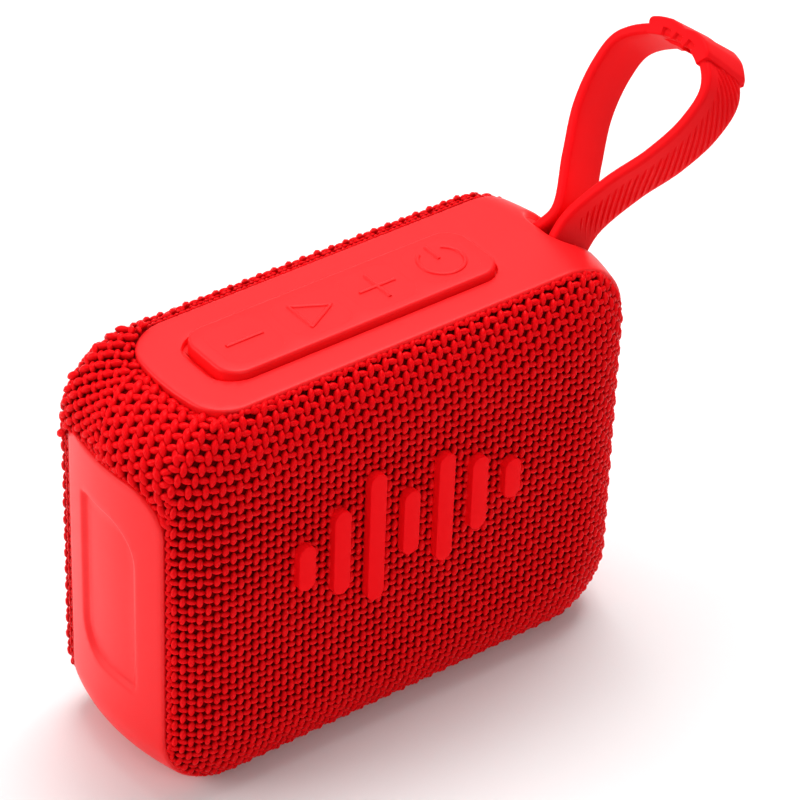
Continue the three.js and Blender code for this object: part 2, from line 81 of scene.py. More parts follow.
Place = Callable[[np.ndarray, np.ndarray, np.ndarray], np.ndarray]


def box_mm(node: str) -> tuple[np.ndarray, np.ndarray]:
    """Gives the lowest and highest corner of a CAD node, in millimetres.

    Args:
        node: the node's name.

    Returns:
        The lowest corner and the highest corner.
    """
    low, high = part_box(node)
    return np.array(low) / MM, np.array(high) / MM


def smooth(x: np.ndarray, low: float, high: float) -> np.ndarray:
    """Steps softly from 0 at low to 1 at high.

    Args:
        x: the values to step on.
        low: where the step starts.
        high: where it ends.

    Returns:
        The stepped values.
    """
    t = np.clip((x - low) / (high - low), 0.0, 1.0)
    return t * t * (3.0 - 2.0 * t)


# ------------------------------------------------------------------ meshes
def mesh_object(name: str, points: np.ndarray, faces: Sequence[Sequence[int]],
                flat: bool = False) -> bpy.types.Object:
    """Makes an object at the origin from points in millimetres.

    Args:
        name: the piece's name.
        points: one row of X, Y, Z for each vertex.
        faces: vertex numbers of each face, counter-clockwise from outside.
        flat: True for flat shading.

    Returns:
        The new object, linked to the scene.
    """
    mesh = bpy.data.meshes.new(name)
    mesh.from_pydata([tuple(p) for p in np.asarray(points) * MM], [], [tuple(map(int, f)) for f in faces])
    mesh.validate()
    mesh.polygons.foreach_set("use_smooth", [not flat] * len(mesh.polygons))
    mesh.update()
    made = bpy.data.objects.new(name, mesh)
    bpy.context.scene.collection.objects.link(made)
    return made


def sharpen(obj: bpy.types.Object, degrees: float = 40.0) -> bpy.types.Object:
    """Marks the creases of a smooth mesh sharp.

    Args:
        obj: the object to mark.
        degrees: the least angle of a crease.

    Returns:
        The same object.
    """
    obj.data.set_sharp_from_angle(angle=math.radians(degrees))
    return obj


def evaluated_copy(obj: bpy.types.Object, name: str) -> bpy.types.Object:
    """Turns an object and its modifiers into a plain mesh object and removes the old one.

    Args:
        obj: the object with its modifiers.
        name: the name of the plain piece.

    Returns:
        The plain object.
    """
    graph = bpy.context.evaluated_depsgraph_get()
    mesh = bpy.data.meshes.new_from_object(obj.evaluated_get(graph))
    bpy.data.objects.remove(obj)
    mesh.name = name
    plain = bpy.data.objects.new(name, mesh)
    bpy.context.scene.collection.objects.link(plain)
    return plain


def dress(obj: bpy.types.Object, material: bpy.types.Material, body: str) -> bpy.types.Object:
    """Gives a piece its material and lets it ride on its body.

    Args:
        obj: the finished piece.
        material: its finish.
        body: the CAD body it moves with.

    Returns:
        The same piece.
    """
    obj.data.materials.clear()
    obj.data.materials.append(material)
    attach(obj, body)
    LOG.info("%s rides on %s", obj.name, body)
    return obj


# ------------------------------------------------------------------ flat patterns
@dataclass(frozen=True)
class RoundRect:
    """A rectangle with round corners, each of its own radius.

    The radii are listed for the corners low-low, high-low, high-high and low-high.
    """

    low: tuple[float, float]
    high: tuple[float, float]
    radii: tuple[float, float, float, float]

    def inset(self, margin: float) -> "RoundRect":
        """Gives the same shape drawn in by a margin, or grown by a negative one."""
        low = (self.low[0] + margin, self.low[1] + margin)
        high = (self.high[0] - margin, self.high[1] - margin)
        return RoundRect(low, high, tuple(max(r - margin, 0.02) for r in self.radii))

    def ring(self, step: float = 1.2, turns: int = 7) -> np.ndarray:
        """Samples the outline.

        Args:
            step: the spacing on the straight sides.
            turns: how many segments each corner has.

        Returns:
            The points, counter-clockwise.
        """
        (x0, y0), (x1, y1) = self.low, self.high
        centres = ((x0, y0, 180.0), (x1, y0, 270.0), (x1, y1, 0.0), (x0, y1, 90.0))
        corners = []
        for (cx, cy, start), radius in zip(centres, self.radii):
            ox = cx + radius * (1 if cx == x0 else -1)
            oy = cy + radius * (1 if cy == y0 else -1)
            angles = np.radians(start + 90.0 * np.arange(turns + 1) / turns)
            corners.append(np.stack([ox + radius * np.cos(angles), oy + radius * np.sin(angles)], axis=1))
        parts = []
        for here, following in zip(corners, corners[1:] + corners[:1]):
            parts.append(here)
            count = max(int(np.linalg.norm(following[0] - here[-1]) / step), 1)
            fraction = (np.arange(1, count) / count)[:, None]
            parts.append(here[-1] * (1 - fraction) + following[0] * fraction)
        return np.concatenate(parts)

    def distance(self, points: np.ndarray) -> np.ndarray:
        """Measures how far inside the outline each point lies, negative outside."""
        centre = (np.array(self.low) + np.array(self.high)) / 2
        half = (np.array(self.high) - np.array(self.low)) / 2
        offset = points - centre
        right = offset[:, 0] > 0
        upper = offset[:, 1] > 0
        radius = np.select([~right & ~upper, right & ~upper, right & upper], self.radii[:3], self.radii[3])
        q = np.abs(offset) - half + radius[:, None]
        outside = np.linalg.norm(np.maximum(q, 0.0), axis=1)
        return radius - outside - np.minimum(np.maximum(q[:, 0], q[:, 1]), 0.0)


@dataclass
class Pattern:
    """A flat pattern of rings and inner points, each with a depth, that is laid on a surface.

    Triangles keep to every ring. Faces inside a hole are left out, and the skin is closed by a
    wall and an underside.
    """

    outline: RoundRect
    spacing: float = 1.2
    points: list[np.ndarray] = field(default_factory=list)
    depths: list[np.ndarray] = field(default_factory=list)
    edges: list[tuple[int, int]] = field(default_factory=list)
    holes: list[RoundRect] = field(default_factory=list)
    keep_clear: list[RoundRect] = field(default_factory=list)

    def ring(self, shape: RoundRect, depth: float, step: float | None = None, turns: int = 7) -> None:
        """Adds one closed ring at a depth below the surface.

        Args:
            shape: the ring's shape.
            depth: how far under the surface it lies.
            step: the spacing on its straight sides, the pattern's own if left out.
            turns: how many segments each corner has.
        """
        loop = shape.ring(step or self.spacing, turns)
        start = sum(len(p) for p in self.points)
        self.points.append(loop)
        self.depths.append(np.full(len(loop), -depth))
        self.edges += [(start + i, start + (i + 1) % len(loop)) for i in range(len(loop))]

    def rounded_edge(self, shape: RoundRect, radius: float, inward: bool = True, base: float = 0.0) -> None:
        """Adds the rings of an edge rounded over by a quarter circle.

        Args:
            shape: the outline of the edge.
            radius: the radius of the rounding.
            inward: True where the surface lies inside the outline.
            base: the depth of the surface itself.
        """
        for share in (0.0, 0.1, 0.3, 0.6, 1.0):
            reach = radius * share
            sink = radius - math.sqrt(max(radius**2 - (radius - reach) ** 2, 0.0))
            self.ring(shape.inset(reach if inward else -reach), base + sink)
        if not inward:
            self.keep_clear.append(shape.inset(-radius - 0.3))

    def fill(self, margin: float, depth: Callable[[np.ndarray], np.ndarray] | None = None) -> None:
        """Adds a grid of inner points.

        Args:
            margin: how far the grid keeps from the outline.
            depth: gives the depth at each point, none if left out.
        """
        counts = [max(int((h - l) / self.spacing), 1) for l, h in zip(self.outline.low, self.outline.high)]
        axes = [np.linspace(l, h, n + 1) for l, h, n in zip(self.outline.low, self.outline.high, counts)]
        grid = np.stack(np.meshgrid(*axes, indexing="ij"), axis=-1).reshape(-1, 2)
        keep = self.outline.distance(grid) > margin
        for shape in self.keep_clear:
            keep &= shape.distance(grid) < 0
        grid = grid[keep]
        self.points.append(grid)
        self.depths.append(-depth(grid) if depth else np.zeros(len(grid)))

    def lay(self, name: str, place: Place, underside: float) -> bpy.types.Object:
        """Triangulates the pattern and lays it on a surface as a closed skin.

        Args:
            name: the piece's name.
            place: gives the points in space for two pattern coordinates and a height.
            underside: the depth of the lower side.

        Returns:
            The new piece.
        """
        flat = np.concatenate(self.points)
        height = np.concatenate(self.depths)
        coords, _, faces, origin, _, _ = delaunay_2d_cdt([Vector(p) for p in flat], self.edges, [], 0, 1e-5)
        flat = np.array([tuple(c) for c in coords])
        height = np.array([height[ids[0]] if ids else 0.0 for ids in origin])
        faces = np.array([f for f in faces])
        middle = flat[faces].mean(axis=1)
        keep = self.outline.distance(middle) > 0
        for hole in self.holes:
            keep &= hole.distance(middle) < 0
        faces = faces[keep]
        corner = flat[faces]
        turn = np.cross(corner[:, 1] - corner[:, 0], corner[:, 2] - corner[:, 0])
        faces[turn < 0] = faces[turn < 0][:, ::-1]
        top = place(flat[:, 0], flat[:, 1], height)
        lower = place(flat[:, 0], flat[:, 1], np.minimum(-underside, height - 0.4))
        count = len(flat)
        directed = {(a, b) for f in faces for a, b in zip(f, np.roll(f, -1))}
        rim = [(a, b) for a, b in directed if (b, a) not in directed]
        walls = [(b, a, a + count, b + count) for a, b in rim]
        every = [tuple(f) for f in faces] + [tuple(f[::-1] + count) for f in faces] + walls
        used = np.unique(np.array([v for f in every for v in f]))
        renumber = np.full(2 * count, -1)
        renumber[used] = np.arange(len(used))
        points = np.concatenate([top, lower])[used]
        return sharpen(mesh_object(name, points, [renumber[list(f)] for f in every]))


# ------------------------------------------------------------------ the body's form
@dataclass(frozen=True)
class BodyForm:
    """The pillowed body: flat-sided bands round a front and a rear cover with soft edges."""

    edge_half_width: float = 47.1
    side_bulge: float = 2.3
    band_half_depth: float = 13.9
    face_rise: float = 5.6
    face_inset_side: float = 12.4
    face_inset_top: float = 16.4
    face_inset_base: float = 14.0
    corner_radius: float = 12.4
    face_corner_radius: float = 8.0
    bulge_start: float = 8.0
    height: float = field(default_factory=lambda: float(box_mm("top_band")[1][2]))

    @property
    def corner_x(self) -> float:
        """Where the straight top ends and the corner starts."""
        return self.edge_half_width - self.corner_radius

    @property
    def middle(self) -> float:
        """Half the height of the body."""
        return self.height / 2

    @staticmethod
    def fall(reach: np.ndarray) -> np.ndarray:
        """How far a cover falls back from its flat middle, 0 there and 1 at its edge."""
        return 0.8 * reach**2.2 + 0.2 * reach**8

    def level(self, reach: float) -> RoundRect:
        """The outline of a cover at a reach from 0, its flat middle, to 1, its edge."""
        shrink = 1.0 - reach
        half = self.edge_half_width - self.face_inset_side * shrink
        radius = self.corner_radius + (self.face_corner_radius - self.corner_radius) * shrink
        low = (-half, self.face_inset_base * shrink)
        high = (half, self.height - self.face_inset_top * shrink)
        return RoundRect(low, high, (radius,) * 4)

    def reach_at(self, plan: np.ndarray, past_edge: float = 1.3, halvings: int = 22) -> np.ndarray:
        """Finds the reach of points seen from the front, by halving.

        Args:
            plan: X and Z of each point.
            past_edge: the largest reach that is looked for.
            halvings: how many times the search is halved.

        Returns:
            The reach of each, over 1 outside the cover.
        """
        low = np.zeros(len(plan))
        high = np.full(len(plan), past_edge)
        for _ in range(halvings):
            mid = (low + high) / 2
            shrink = 1.0 - mid
            half_width = self.edge_half_width - self.face_inset_side * shrink
            top = self.height - self.face_inset_top * shrink
            base = self.face_inset_base * shrink
            radius = self.corner_radius + (self.face_corner_radius - self.corner_radius) * shrink
            qx = np.abs(plan[:, 0]) - half_width + radius
            qz = np.abs(plan[:, 1] - (top + base) / 2) - (top - base) / 2 + radius
            inner = np.minimum(np.maximum(qx, qz), 0)
            outside = np.hypot(np.maximum(qx, 0), np.maximum(qz, 0)) + inner > radius
            low = np.where(outside, mid, low)
            high = np.where(outside, high, mid)
        return (low + high) / 2

    def cover(self, plan: np.ndarray, side: float) -> np.ndarray:
        """Points on a cover.

        Args:
            plan: X and Z of each point.
            side: -1 for the front, 1 for the rear.

        Returns:
            The points in space.
        """
        depth = self.band_half_depth + self.face_rise * (1.0 - self.fall(self.reach_at(plan)))
        return np.stack([plan[:, 0], side * depth, plan[:, 1]], axis=1)

    def wrap(self, s: np.ndarray, y: np.ndarray) -> np.ndarray:
        """Points on the bands and corners.

        Args:
            s: the way round from the middle of the top, positive towards +X.
            y: the depth.

        Returns:
            The points in space.
        """
        bulge = self.side_bulge * np.maximum(1.0 - (y / self.band_half_depth) ** 2, 0.0)
        way = np.abs(s)
        shift = bulge * np.clip((way - self.corner_x + self.bulge_start) / self.bulge_start, 0.0, 1.0)
        angle = np.clip((way - self.corner_x) / self.corner_radius, 0.0, math.pi / 2)
        down = np.maximum(way - self.corner_x - self.corner_radius * math.pi / 2, 0.0)
        x = np.minimum(way, self.corner_x) + shift + self.corner_radius * np.sin(angle)
        z = self.height - self.corner_radius * (1.0 - np.cos(angle)) - down
        return np.stack([np.sign(s) * x, y, z], axis=1)

    def way_down(self, z: float) -> float:
        """The way round to a height on the straight right side."""
        return self.corner_x + self.corner_radius * math.pi / 2 + (self.height - self.corner_radius - z)

    def turned(self, points: np.ndarray) -> np.ndarray:
        """Turns points half a turn about the middle of the body, seen from the front."""
        return points * np.array([-1.0, 1.0, -1.0]) + np.array([0.0, 0.0, self.height])


def frame_on(surface: Callable[[np.ndarray, np.ndarray], np.ndarray], a: np.ndarray, b: np.ndarray,
             flip: bool = False) -> tuple[np.ndarray, np.ndarray, np.ndarray, np.ndarray]:
    """Points, tangents and normals of a surface of two coordinates.

    Args:
        surface: gives points for two coordinates.
        a: the first coordinate.
        b: the second coordinate.
        flip: True to turn the normals round.

    Returns:
        The points, the unit tangents along each coordinate, and the unit normals.
    """
    small = 0.02
    points = surface(a, b)
    along_a = surface(a + small, b) - surface(a - small, b)
    along_b = surface(a, b + small) - surface(a, b - small)
    normal = np.cross(along_a, along_b) * (-1.0 if flip else 1.0)
    return points, unit(along_a), unit(along_b), unit(normal)


def unit(vectors: np.ndarray) -> np.ndarray:
    """Scales each row to length 1."""
    return vectors / np.maximum(np.linalg.norm(vectors, axis=1, keepdims=True), 1e-9)


# ------------------------------------------------------------------ node trees
class Graph:
    """A node tree filled by short calls."""

    def __init__(self, tree: bpy.types.NodeTree) -> None:
        """Keeps the tree."""
        self.tree = tree

    def add(self, kind: str, settings: dict | None = None, **inputs: object) -> bpy.types.Node:
        """Adds a node, sets its properties and fills or links its inputs.

        Args:
            kind: the node's type name.
            settings: properties of the node itself.
            inputs: values or output sockets, by input name with spaces as underscores.

        Returns:
            The new node.
        """
        node = self.tree.nodes.new(kind)
        for key, value in (settings or {}).items():
            setattr(node, key, value)
        for key, value in inputs.items():
            self.feed(node.inputs[int(key[1:]) if key[0] == "_" else key.replace("_", " ")], value)
        return node

    def feed(self, socket: bpy.types.NodeSocket, value: object) -> None:
        """Links a socket to an output, or sets its value."""
        if isinstance(value, bpy.types.NodeSocket):
            self.tree.links.new(value, socket)
        else:
            socket.default_value = value


class InputKind(Enum):
    """The kinds of input that the node trees of this script take."""

    NUMBER = "NodeSocketFloat"
    COUNT = "NodeSocketInt"
    MATERIAL = "NodeSocketMaterial"


class ShapeTree:
    """A Geometry Nodes tree with named inputs."""

    def __init__(self, name: str, inputs: dict[str, InputKind]) -> None:
        """Makes an empty tree with a geometry input and output.

        Args:
            name: the tree's name.
            inputs: the kind of each further input, by name.
        """
        self.tree = bpy.data.node_groups.new(name, "GeometryNodeTree")
        face = self.tree.interface
        face.new_socket("Geometry", in_out="INPUT", socket_type="NodeSocketGeometry")
        face.new_socket("Geometry", in_out="OUTPUT", socket_type="NodeSocketGeometry")
        self.ids = {
            key: face.new_socket(key, in_out="INPUT", socket_type=kind.value).identifier
            for key, kind in inputs.items()
        }
        self.graph = Graph(self.tree)
        self.source = self.graph.add("NodeGroupInput")

    def finish(self, geometry: bpy.types.NodeSocket) -> None:
        """Ends the tree in real, smooth geometry with its material."""
        add = self.graph.add
        real = add("GeometryNodeRealizeInstances", Geometry=geometry)
        soft = add("GeometryNodeSetShadeSmooth", Geometry=real.outputs[0])
        finish = self.source.outputs["Material"]
        done = add("GeometryNodeSetMaterial", Geometry=soft.outputs[0], Material=finish)
        add("NodeGroupOutput", Geometry=done.outputs[0])

    def grow(self, obj: bpy.types.Object, name: str, values: dict[str, object]) -> bpy.types.Object:
        """Runs the tree on an object and turns the result into a plain mesh.

        Args:
            obj: the object whose mesh feeds the tree.
            name: the name of the finished piece.
            values: the value of each named input.

        Returns:
            The finished piece.
        """
        modifier = obj.modifiers.new("shape", "NODES")
        modifier.node_group = self.tree
        for key, value in values.items():
            modifier[self.ids[key]] = value
        return evaluated_copy(obj, name)


def bead_tree() -> ShapeTree:
    """Builds the tree that sets one pointed yarn float on each point, along the yarn and out of the cloth.

    Each point carries the directions along the yarn and out of the cloth, a lean and a size.
    """
    inputs = {
        "Length": InputKind.NUMBER, "Width": InputKind.NUMBER, "Height": InputKind.NUMBER,
        "Point": InputKind.NUMBER, "Wander": InputKind.NUMBER, "Seed": InputKind.COUNT,
        "Material": InputKind.MATERIAL,
    }
    made = ShapeTree("yarn_floats", inputs)
    add, source = made.graph.add, made.source.outputs
    float_mesh = add("GeometryNodeMeshUVSphere", Segments=8, Rings=7, Radius=0.5)
    grain = add("GeometryNodeInputPosition")
    stored = add("GeometryNodeStoreNamedAttribute", {"data_type": "FLOAT_VECTOR", "domain": "POINT"},
                 Geometry=float_mesh.outputs[0], Name="grain", Value=grain.outputs[0])
    axes = add("ShaderNodeSeparateXYZ", Vector=grain.outputs[0])
    square = add("ShaderNodeMath", {"operation": "MULTIPLY"}, _0=axes.outputs["Z"], _1=axes.outputs["Z"])
    rest = add("ShaderNodeMath", {"operation": "MULTIPLY_ADD", "use_clamp": True}, _0=square.outputs[0],
               _1=-4.0, _2=1.0)
    taper = add("ShaderNodeMath", {"operation": "POWER"}, _0=rest.outputs[0], _1=source["Point"])
    narrow = add("ShaderNodeCombineXYZ", X=taper.outputs[0], Y=taper.outputs[0], Z=1.0)
    leaf = add("ShaderNodeVectorMath", {"operation": "MULTIPLY"}, _0=grain.outputs[0], _1=narrow.outputs[0])
    pointed = add("GeometryNodeSetPosition", Geometry=stored.outputs[0], Position=leaf.outputs[0])
    size = add("ShaderNodeCombineXYZ", X=source["Width"], Y=source["Height"], Z=source["Length"])
    shaped = add("GeometryNodeTransform", Geometry=pointed.outputs[0], Scale=size.outputs[0])
    along = add("GeometryNodeInputNamedAttribute", {"data_type": "FLOAT_VECTOR"}, Name="along")
    outward = add("GeometryNodeInputNamedAttribute", {"data_type": "FLOAT_VECTOR"}, Name="outward")
    turn = add("FunctionNodeAxesToRotation", {"primary_axis": "Z", "secondary_axis": "Y"},
               _0=along.outputs[0], _1=outward.outputs[0])
    drift = add("ShaderNodeMath", {"operation": "MULTIPLY"}, _0=source["Wander"], _1=-1.0)
    chance = add("FunctionNodeRandomValue", {"data_type": "FLOAT"}, _2=drift.outputs[0], _3=source["Wander"],
                 Seed=source["Seed"])
    lean = add("GeometryNodeInputNamedAttribute", {"data_type": "FLOAT"}, Name="lean")
    total = add("ShaderNodeMath", {"operation": "ADD"}, _0=lean.outputs[0], _1=chance.outputs[1])
    tilt = add("ShaderNodeCombineXYZ", Y=total.outputs[0])
    swing = add("FunctionNodeEulerToRotation", Euler=tilt.outputs[0])
    turned = add("FunctionNodeRotateRotation", {"rotation_space": "LOCAL"}, Rotation=turn.outputs[0],
                 Rotate_By=swing.outputs[0])
    spread = add("FunctionNodeRandomValue", {"data_type": "FLOAT_VECTOR"}, _0=(0.93, 0.9, 0.93),
                 _1=(1.07, 1.06, 1.06), Seed=source["Seed"])
    share = add("GeometryNodeInputNamedAttribute", {"data_type": "FLOAT"}, Name="share")
    scale = add("ShaderNodeVectorMath", {"operation": "SCALE"}, _0=spread.outputs[0], Scale=share.outputs[0])
    placed = add("GeometryNodeInstanceOnPoints", Points=source["Geometry"], Instance=shaped.outputs[0],
                 Rotation=turned.outputs[0], Scale=scale.outputs[0])
    made.finish(placed.outputs[0])
    return made


def ridge_tree() -> ShapeTree:
    """Builds the tree that runs a round ridge along every chain of edges."""
    inputs = {"Radius": InputKind.NUMBER, "Sides": InputKind.COUNT, "Material": InputKind.MATERIAL}
    made = ShapeTree("ridge_lines", inputs)
    add, source = made.graph.add, made.source.outputs
    line = add("GeometryNodeMeshToCurve", Mesh=source["Geometry"])
    ring = add("GeometryNodeCurvePrimitiveCircle", Resolution=source["Sides"], Radius=source["Radius"])
    tube = add("GeometryNodeCurveToMesh", Curve=line.outputs[0], Profile_Curve=ring.outputs[0],
               Fill_Caps=True)
    made.finish(tube.outputs[0])
    return made


# ------------------------------------------------------------------ finishes
@dataclass(frozen=True)
class Finish:
    """A moulded or woven surface: two close colours, a gloss and a fine relief.

    The grain size and the relief depth are in metres on the real surface.
    """

    name: str
    colour: Colour
    deep: Colour
    roughness: float
    grain: float = 0.0004
    relief: float = 0.00001
    mottle: float = 0.02
    metal: float = 0.0
    coat: float = 0.0
    soft: float = 0.0
    reflect: float = 0.5
    uneven: float = 0.04

    def shader(self) -> tuple[bpy.types.Material, Graph, bpy.types.Node]:
        """Makes the material with its constant values set on the shader itself.

        Returns:
            The material, its graph and its shader node.
        """
        material = bpy.data.materials.new(self.name)
        material.use_nodes = True
        material.node_tree.nodes.clear()
        graph = Graph(material.node_tree)
        shader = graph.add("ShaderNodeBsdfPrincipled", Roughness=self.roughness, Metallic=self.metal)
        shader.inputs["Coat Weight"].default_value = self.coat
        shader.inputs["Coat Roughness"].default_value = COAT_ROUGHNESS
        shader.inputs["Specular IOR Level"].default_value = self.reflect
        shader.inputs["Subsurface Weight"].default_value = self.soft
        shader.inputs["Subsurface Radius"].default_value = SOFT_RADIUS
        shader.inputs["Subsurface Scale"].default_value = 1.0
        graph.add("ShaderNodeOutputMaterial", Surface=shader.outputs[0])
        return material, graph, shader

    def material(self) -> bpy.types.Material:
        """Builds the material: mottled colour, uneven gloss and a fine grain.

        Returns:
            The material.
        """
        material, graph, shader = self.shader()
        place = graph.add("ShaderNodeTexCoord").outputs["Object"]
        cloud = graph.add("ShaderNodeTexNoise", Vector=place, Scale=1.0 / self.mottle, Detail=3.0)
        tint = graph.add("ShaderNodeMix", {"data_type": "RGBA"}, _0=cloud.outputs["Fac"],
                         _6=(*self.deep, 1.0), _7=(*self.colour, 1.0))
        graph.feed(shader.inputs["Base Color"], tint.outputs[2])
        gloss = graph.add("ShaderNodeMapRange", Value=cloud.outputs["Fac"],
                          To_Min=self.roughness - self.uneven, To_Max=self.roughness + self.uneven)
        graph.feed(shader.inputs["Roughness"], gloss.outputs[0])
        grain = graph.add("ShaderNodeTexNoise", Vector=place, Scale=1.0 / self.grain, Detail=2.0)
        bump = graph.add("ShaderNodeBump", Height=grain.outputs["Fac"], Strength=1.0, Distance=self.relief)
        graph.feed(shader.inputs["Normal"], bump.outputs[0])
        return material


@dataclass(frozen=True)
class YarnFinish(Finish):
    """Twisted yarn: the finish of each float follows the float's own grain."""

    twist: float = 2.25

    def material(self) -> bpy.types.Material:
        """Builds the yarn: slanting plies, a random mottle, and painted shade that darkens each float's lower
        side where it dives between its neighbours.

        Returns:
            The material.
        """
        material, graph, shader = self.shader()
        grain = graph.add("ShaderNodeAttribute", {"attribute_name": "grain"}).outputs["Vector"]
        place = graph.add("ShaderNodeTexCoord").outputs["Object"]
        plies = graph.add("ShaderNodeTexWave", {"bands_direction": "DIAGONAL"}, Vector=grain,
                          Scale=self.twist, Distortion=0.6)
        axes = graph.add("ShaderNodeSeparateXYZ", Vector=grain)
        # painted shade: by its own height, the float's lower side takes the deep colour
        painted_shade_ramp = graph.add("ShaderNodeMapRange", Value=axes.outputs["Y"], From_Min=-0.15, From_Max=0.42)
        cloud = graph.add("ShaderNodeTexNoise", Vector=place, Scale=1.0 / self.mottle, Detail=2.0)
        share = graph.add("ShaderNodeMath", {"operation": "MULTIPLY_ADD"}, _0=cloud.outputs["Fac"], _1=0.25,
                          _2=painted_shade_ramp.outputs[0])
        tint = graph.add("ShaderNodeMix", {"data_type": "RGBA"}, _0=share.outputs[0],
                         _6=(*self.deep, 1.0), _7=(*self.colour, 1.0))
        graph.feed(shader.inputs["Base Color"], tint.outputs[2])
        bump = graph.add("ShaderNodeBump", Height=plies.outputs["Fac"], Strength=0.5, Distance=self.relief)
        graph.feed(shader.inputs["Normal"], bump.outputs[0])
        return material


class Finishes:
    """Every finish of the speaker, made once."""

    def __init__(self) -> None:
        """Makes the materials."""
        # the yarn's deep colour serves both its random mottle and the painted shade on each float's lower
        # side
        self.yarn = YarnFinish("woven_yarn", (0.86, 0.002, 0.005), (0.3, 0.0, 0.001), 0.34, relief=0.00005,
                               mottle=0.006, reflect=0.05).material()
        # painted shade: the cover backing is coloured far darker than the yarn so the gaps between floats
        # read as shade
        self.backing = Finish("cloth_backing_painted_shade", (0.2, 0.0, 0.001), (0.09, 0.0, 0.0), 0.95, grain=0.0003,
                              relief=0.0001, reflect=0.04).material()
        # painted light: a lighter copy of the backing for the corners, whose gaps catch more light
        self.lining = Finish("corner_backing_painted_light", (0.5, 0.001, 0.003), (0.3, 0.0, 0.001), 0.9, grain=0.0003,
                             relief=0.0001, reflect=0.06).material()
        self.panel = Finish("satin_panel", (0.94, 0.01, 0.013), (0.9, 0.008, 0.011), 0.4, grain=0.00025,
                            relief=0.000004, soft=0.08, reflect=0.22).material()
        self.key = Finish("silicone_keys", (0.93, 0.008, 0.011), (0.89, 0.006, 0.009), 0.42, grain=0.00025,
                          relief=0.000004, soft=0.08, reflect=0.22).material()
        self.strap = Finish("strap_silicone", (0.9, 0.005, 0.009), (0.85, 0.004, 0.007), 0.5, grain=0.0003,
                            relief=0.000004, soft=0.05, reflect=0.05).material()
        self.emblem = Finish("emblem_lacquer", (0.97, 0.004, 0.008), (0.95, 0.004, 0.007), 0.4, grain=0.0003,
                             relief=0.000002, reflect=0.02).material()
        self.shell = Finish("shell_plastic", (0.1, 0.002, 0.004), (0.07, 0.001, 0.003), 0.6,
                            relief=0.00002).material()
        self.black = Finish("black_plastic", (0.02, 0.02, 0.022), (0.012, 0.012, 0.013), 0.5,
                            relief=0.00002).material()
        self.rubber = Finish("black_rubber", (0.015, 0.015, 0.015), (0.01, 0.01, 0.01), 0.7).material()
        self.foam = Finish("gasket_foam", (0.1, 0.1, 0.11), (0.04, 0.04, 0.045), 0.95, grain=0.0003,
                           relief=0.0001, mottle=0.001).material()
        self.board = Finish("solder_mask", (0.02, 0.13, 0.05), (0.015, 0.09, 0.035), 0.35, mottle=0.003,
                            coat=0.3).material()
        self.steel = Finish("brushed_steel", (0.62, 0.62, 0.64), (0.5, 0.5, 0.52), 0.32, grain=0.0002,
                            relief=0.000005, metal=1.0).material()
        self.paper = Finish("pressed_pulp", (0.05, 0.05, 0.052), (0.03, 0.03, 0.031), 0.9, grain=0.0006,
                            relief=0.00005, mottle=0.002).material()
        self.wrap = Finish("shrink_wrap", (0.03, 0.08, 0.32), (0.025, 0.07, 0.28), 0.3, coat=0.2).material()


# ------------------------------------------------------------------ woven wrap
def lattice(columns: int, rows: int) -> tuple[np.ndarray, np.ndarray]:
    """Numbers the crossings of a weave, so many each way from the middle."""
    grids = np.meshgrid(np.arange(-columns, columns + 1), np.arange(-rows, rows + 1), indexing="ij")
    return grids[0].ravel(), grids[1].ravel()


@dataclass(frozen=True)
class Float:
    """The size of one kind of yarn float and how deep its middle lies, in millimetres."""

    length: float
    width: float
    height: float
    sink: float


@dataclass
class Seats:
    """Where yarn floats sit: points, the yarn's direction, the cloth's outside, lean, size and sink."""

    points: np.ndarray
    along: np.ndarray
    outward: np.ndarray
    lean: np.ndarray
    share: np.ndarray
    sink: np.ndarray

    def pick(self, keep: np.ndarray) -> "Seats":
        """Keeps some of the seats."""
        return Seats(*(getattr(self, part.name)[keep] for part in fields(self)))

    def joined(self, other: "Seats") -> "Seats":
        """Adds the seats of another set."""
        return Seats(*(np.concatenate([getattr(self, part.name), getattr(other, part.name)])
                       for part in fields(self)))

    def clear_of(self, others: np.ndarray, distance: float) -> "Seats":
        """Drops the seats that come too near to given points.

        Args:
            others: the points to keep away from.
            distance: the least distance.

        Returns:
            The seats that are left.
        """
        tree = KDTree(len(others))
        for number, point in enumerate(others):
            tree.insert(Vector(point), number)
        tree.balance()
        return self.pick(np.array([tree.find(Vector(point))[2] > distance for point in self.points]))


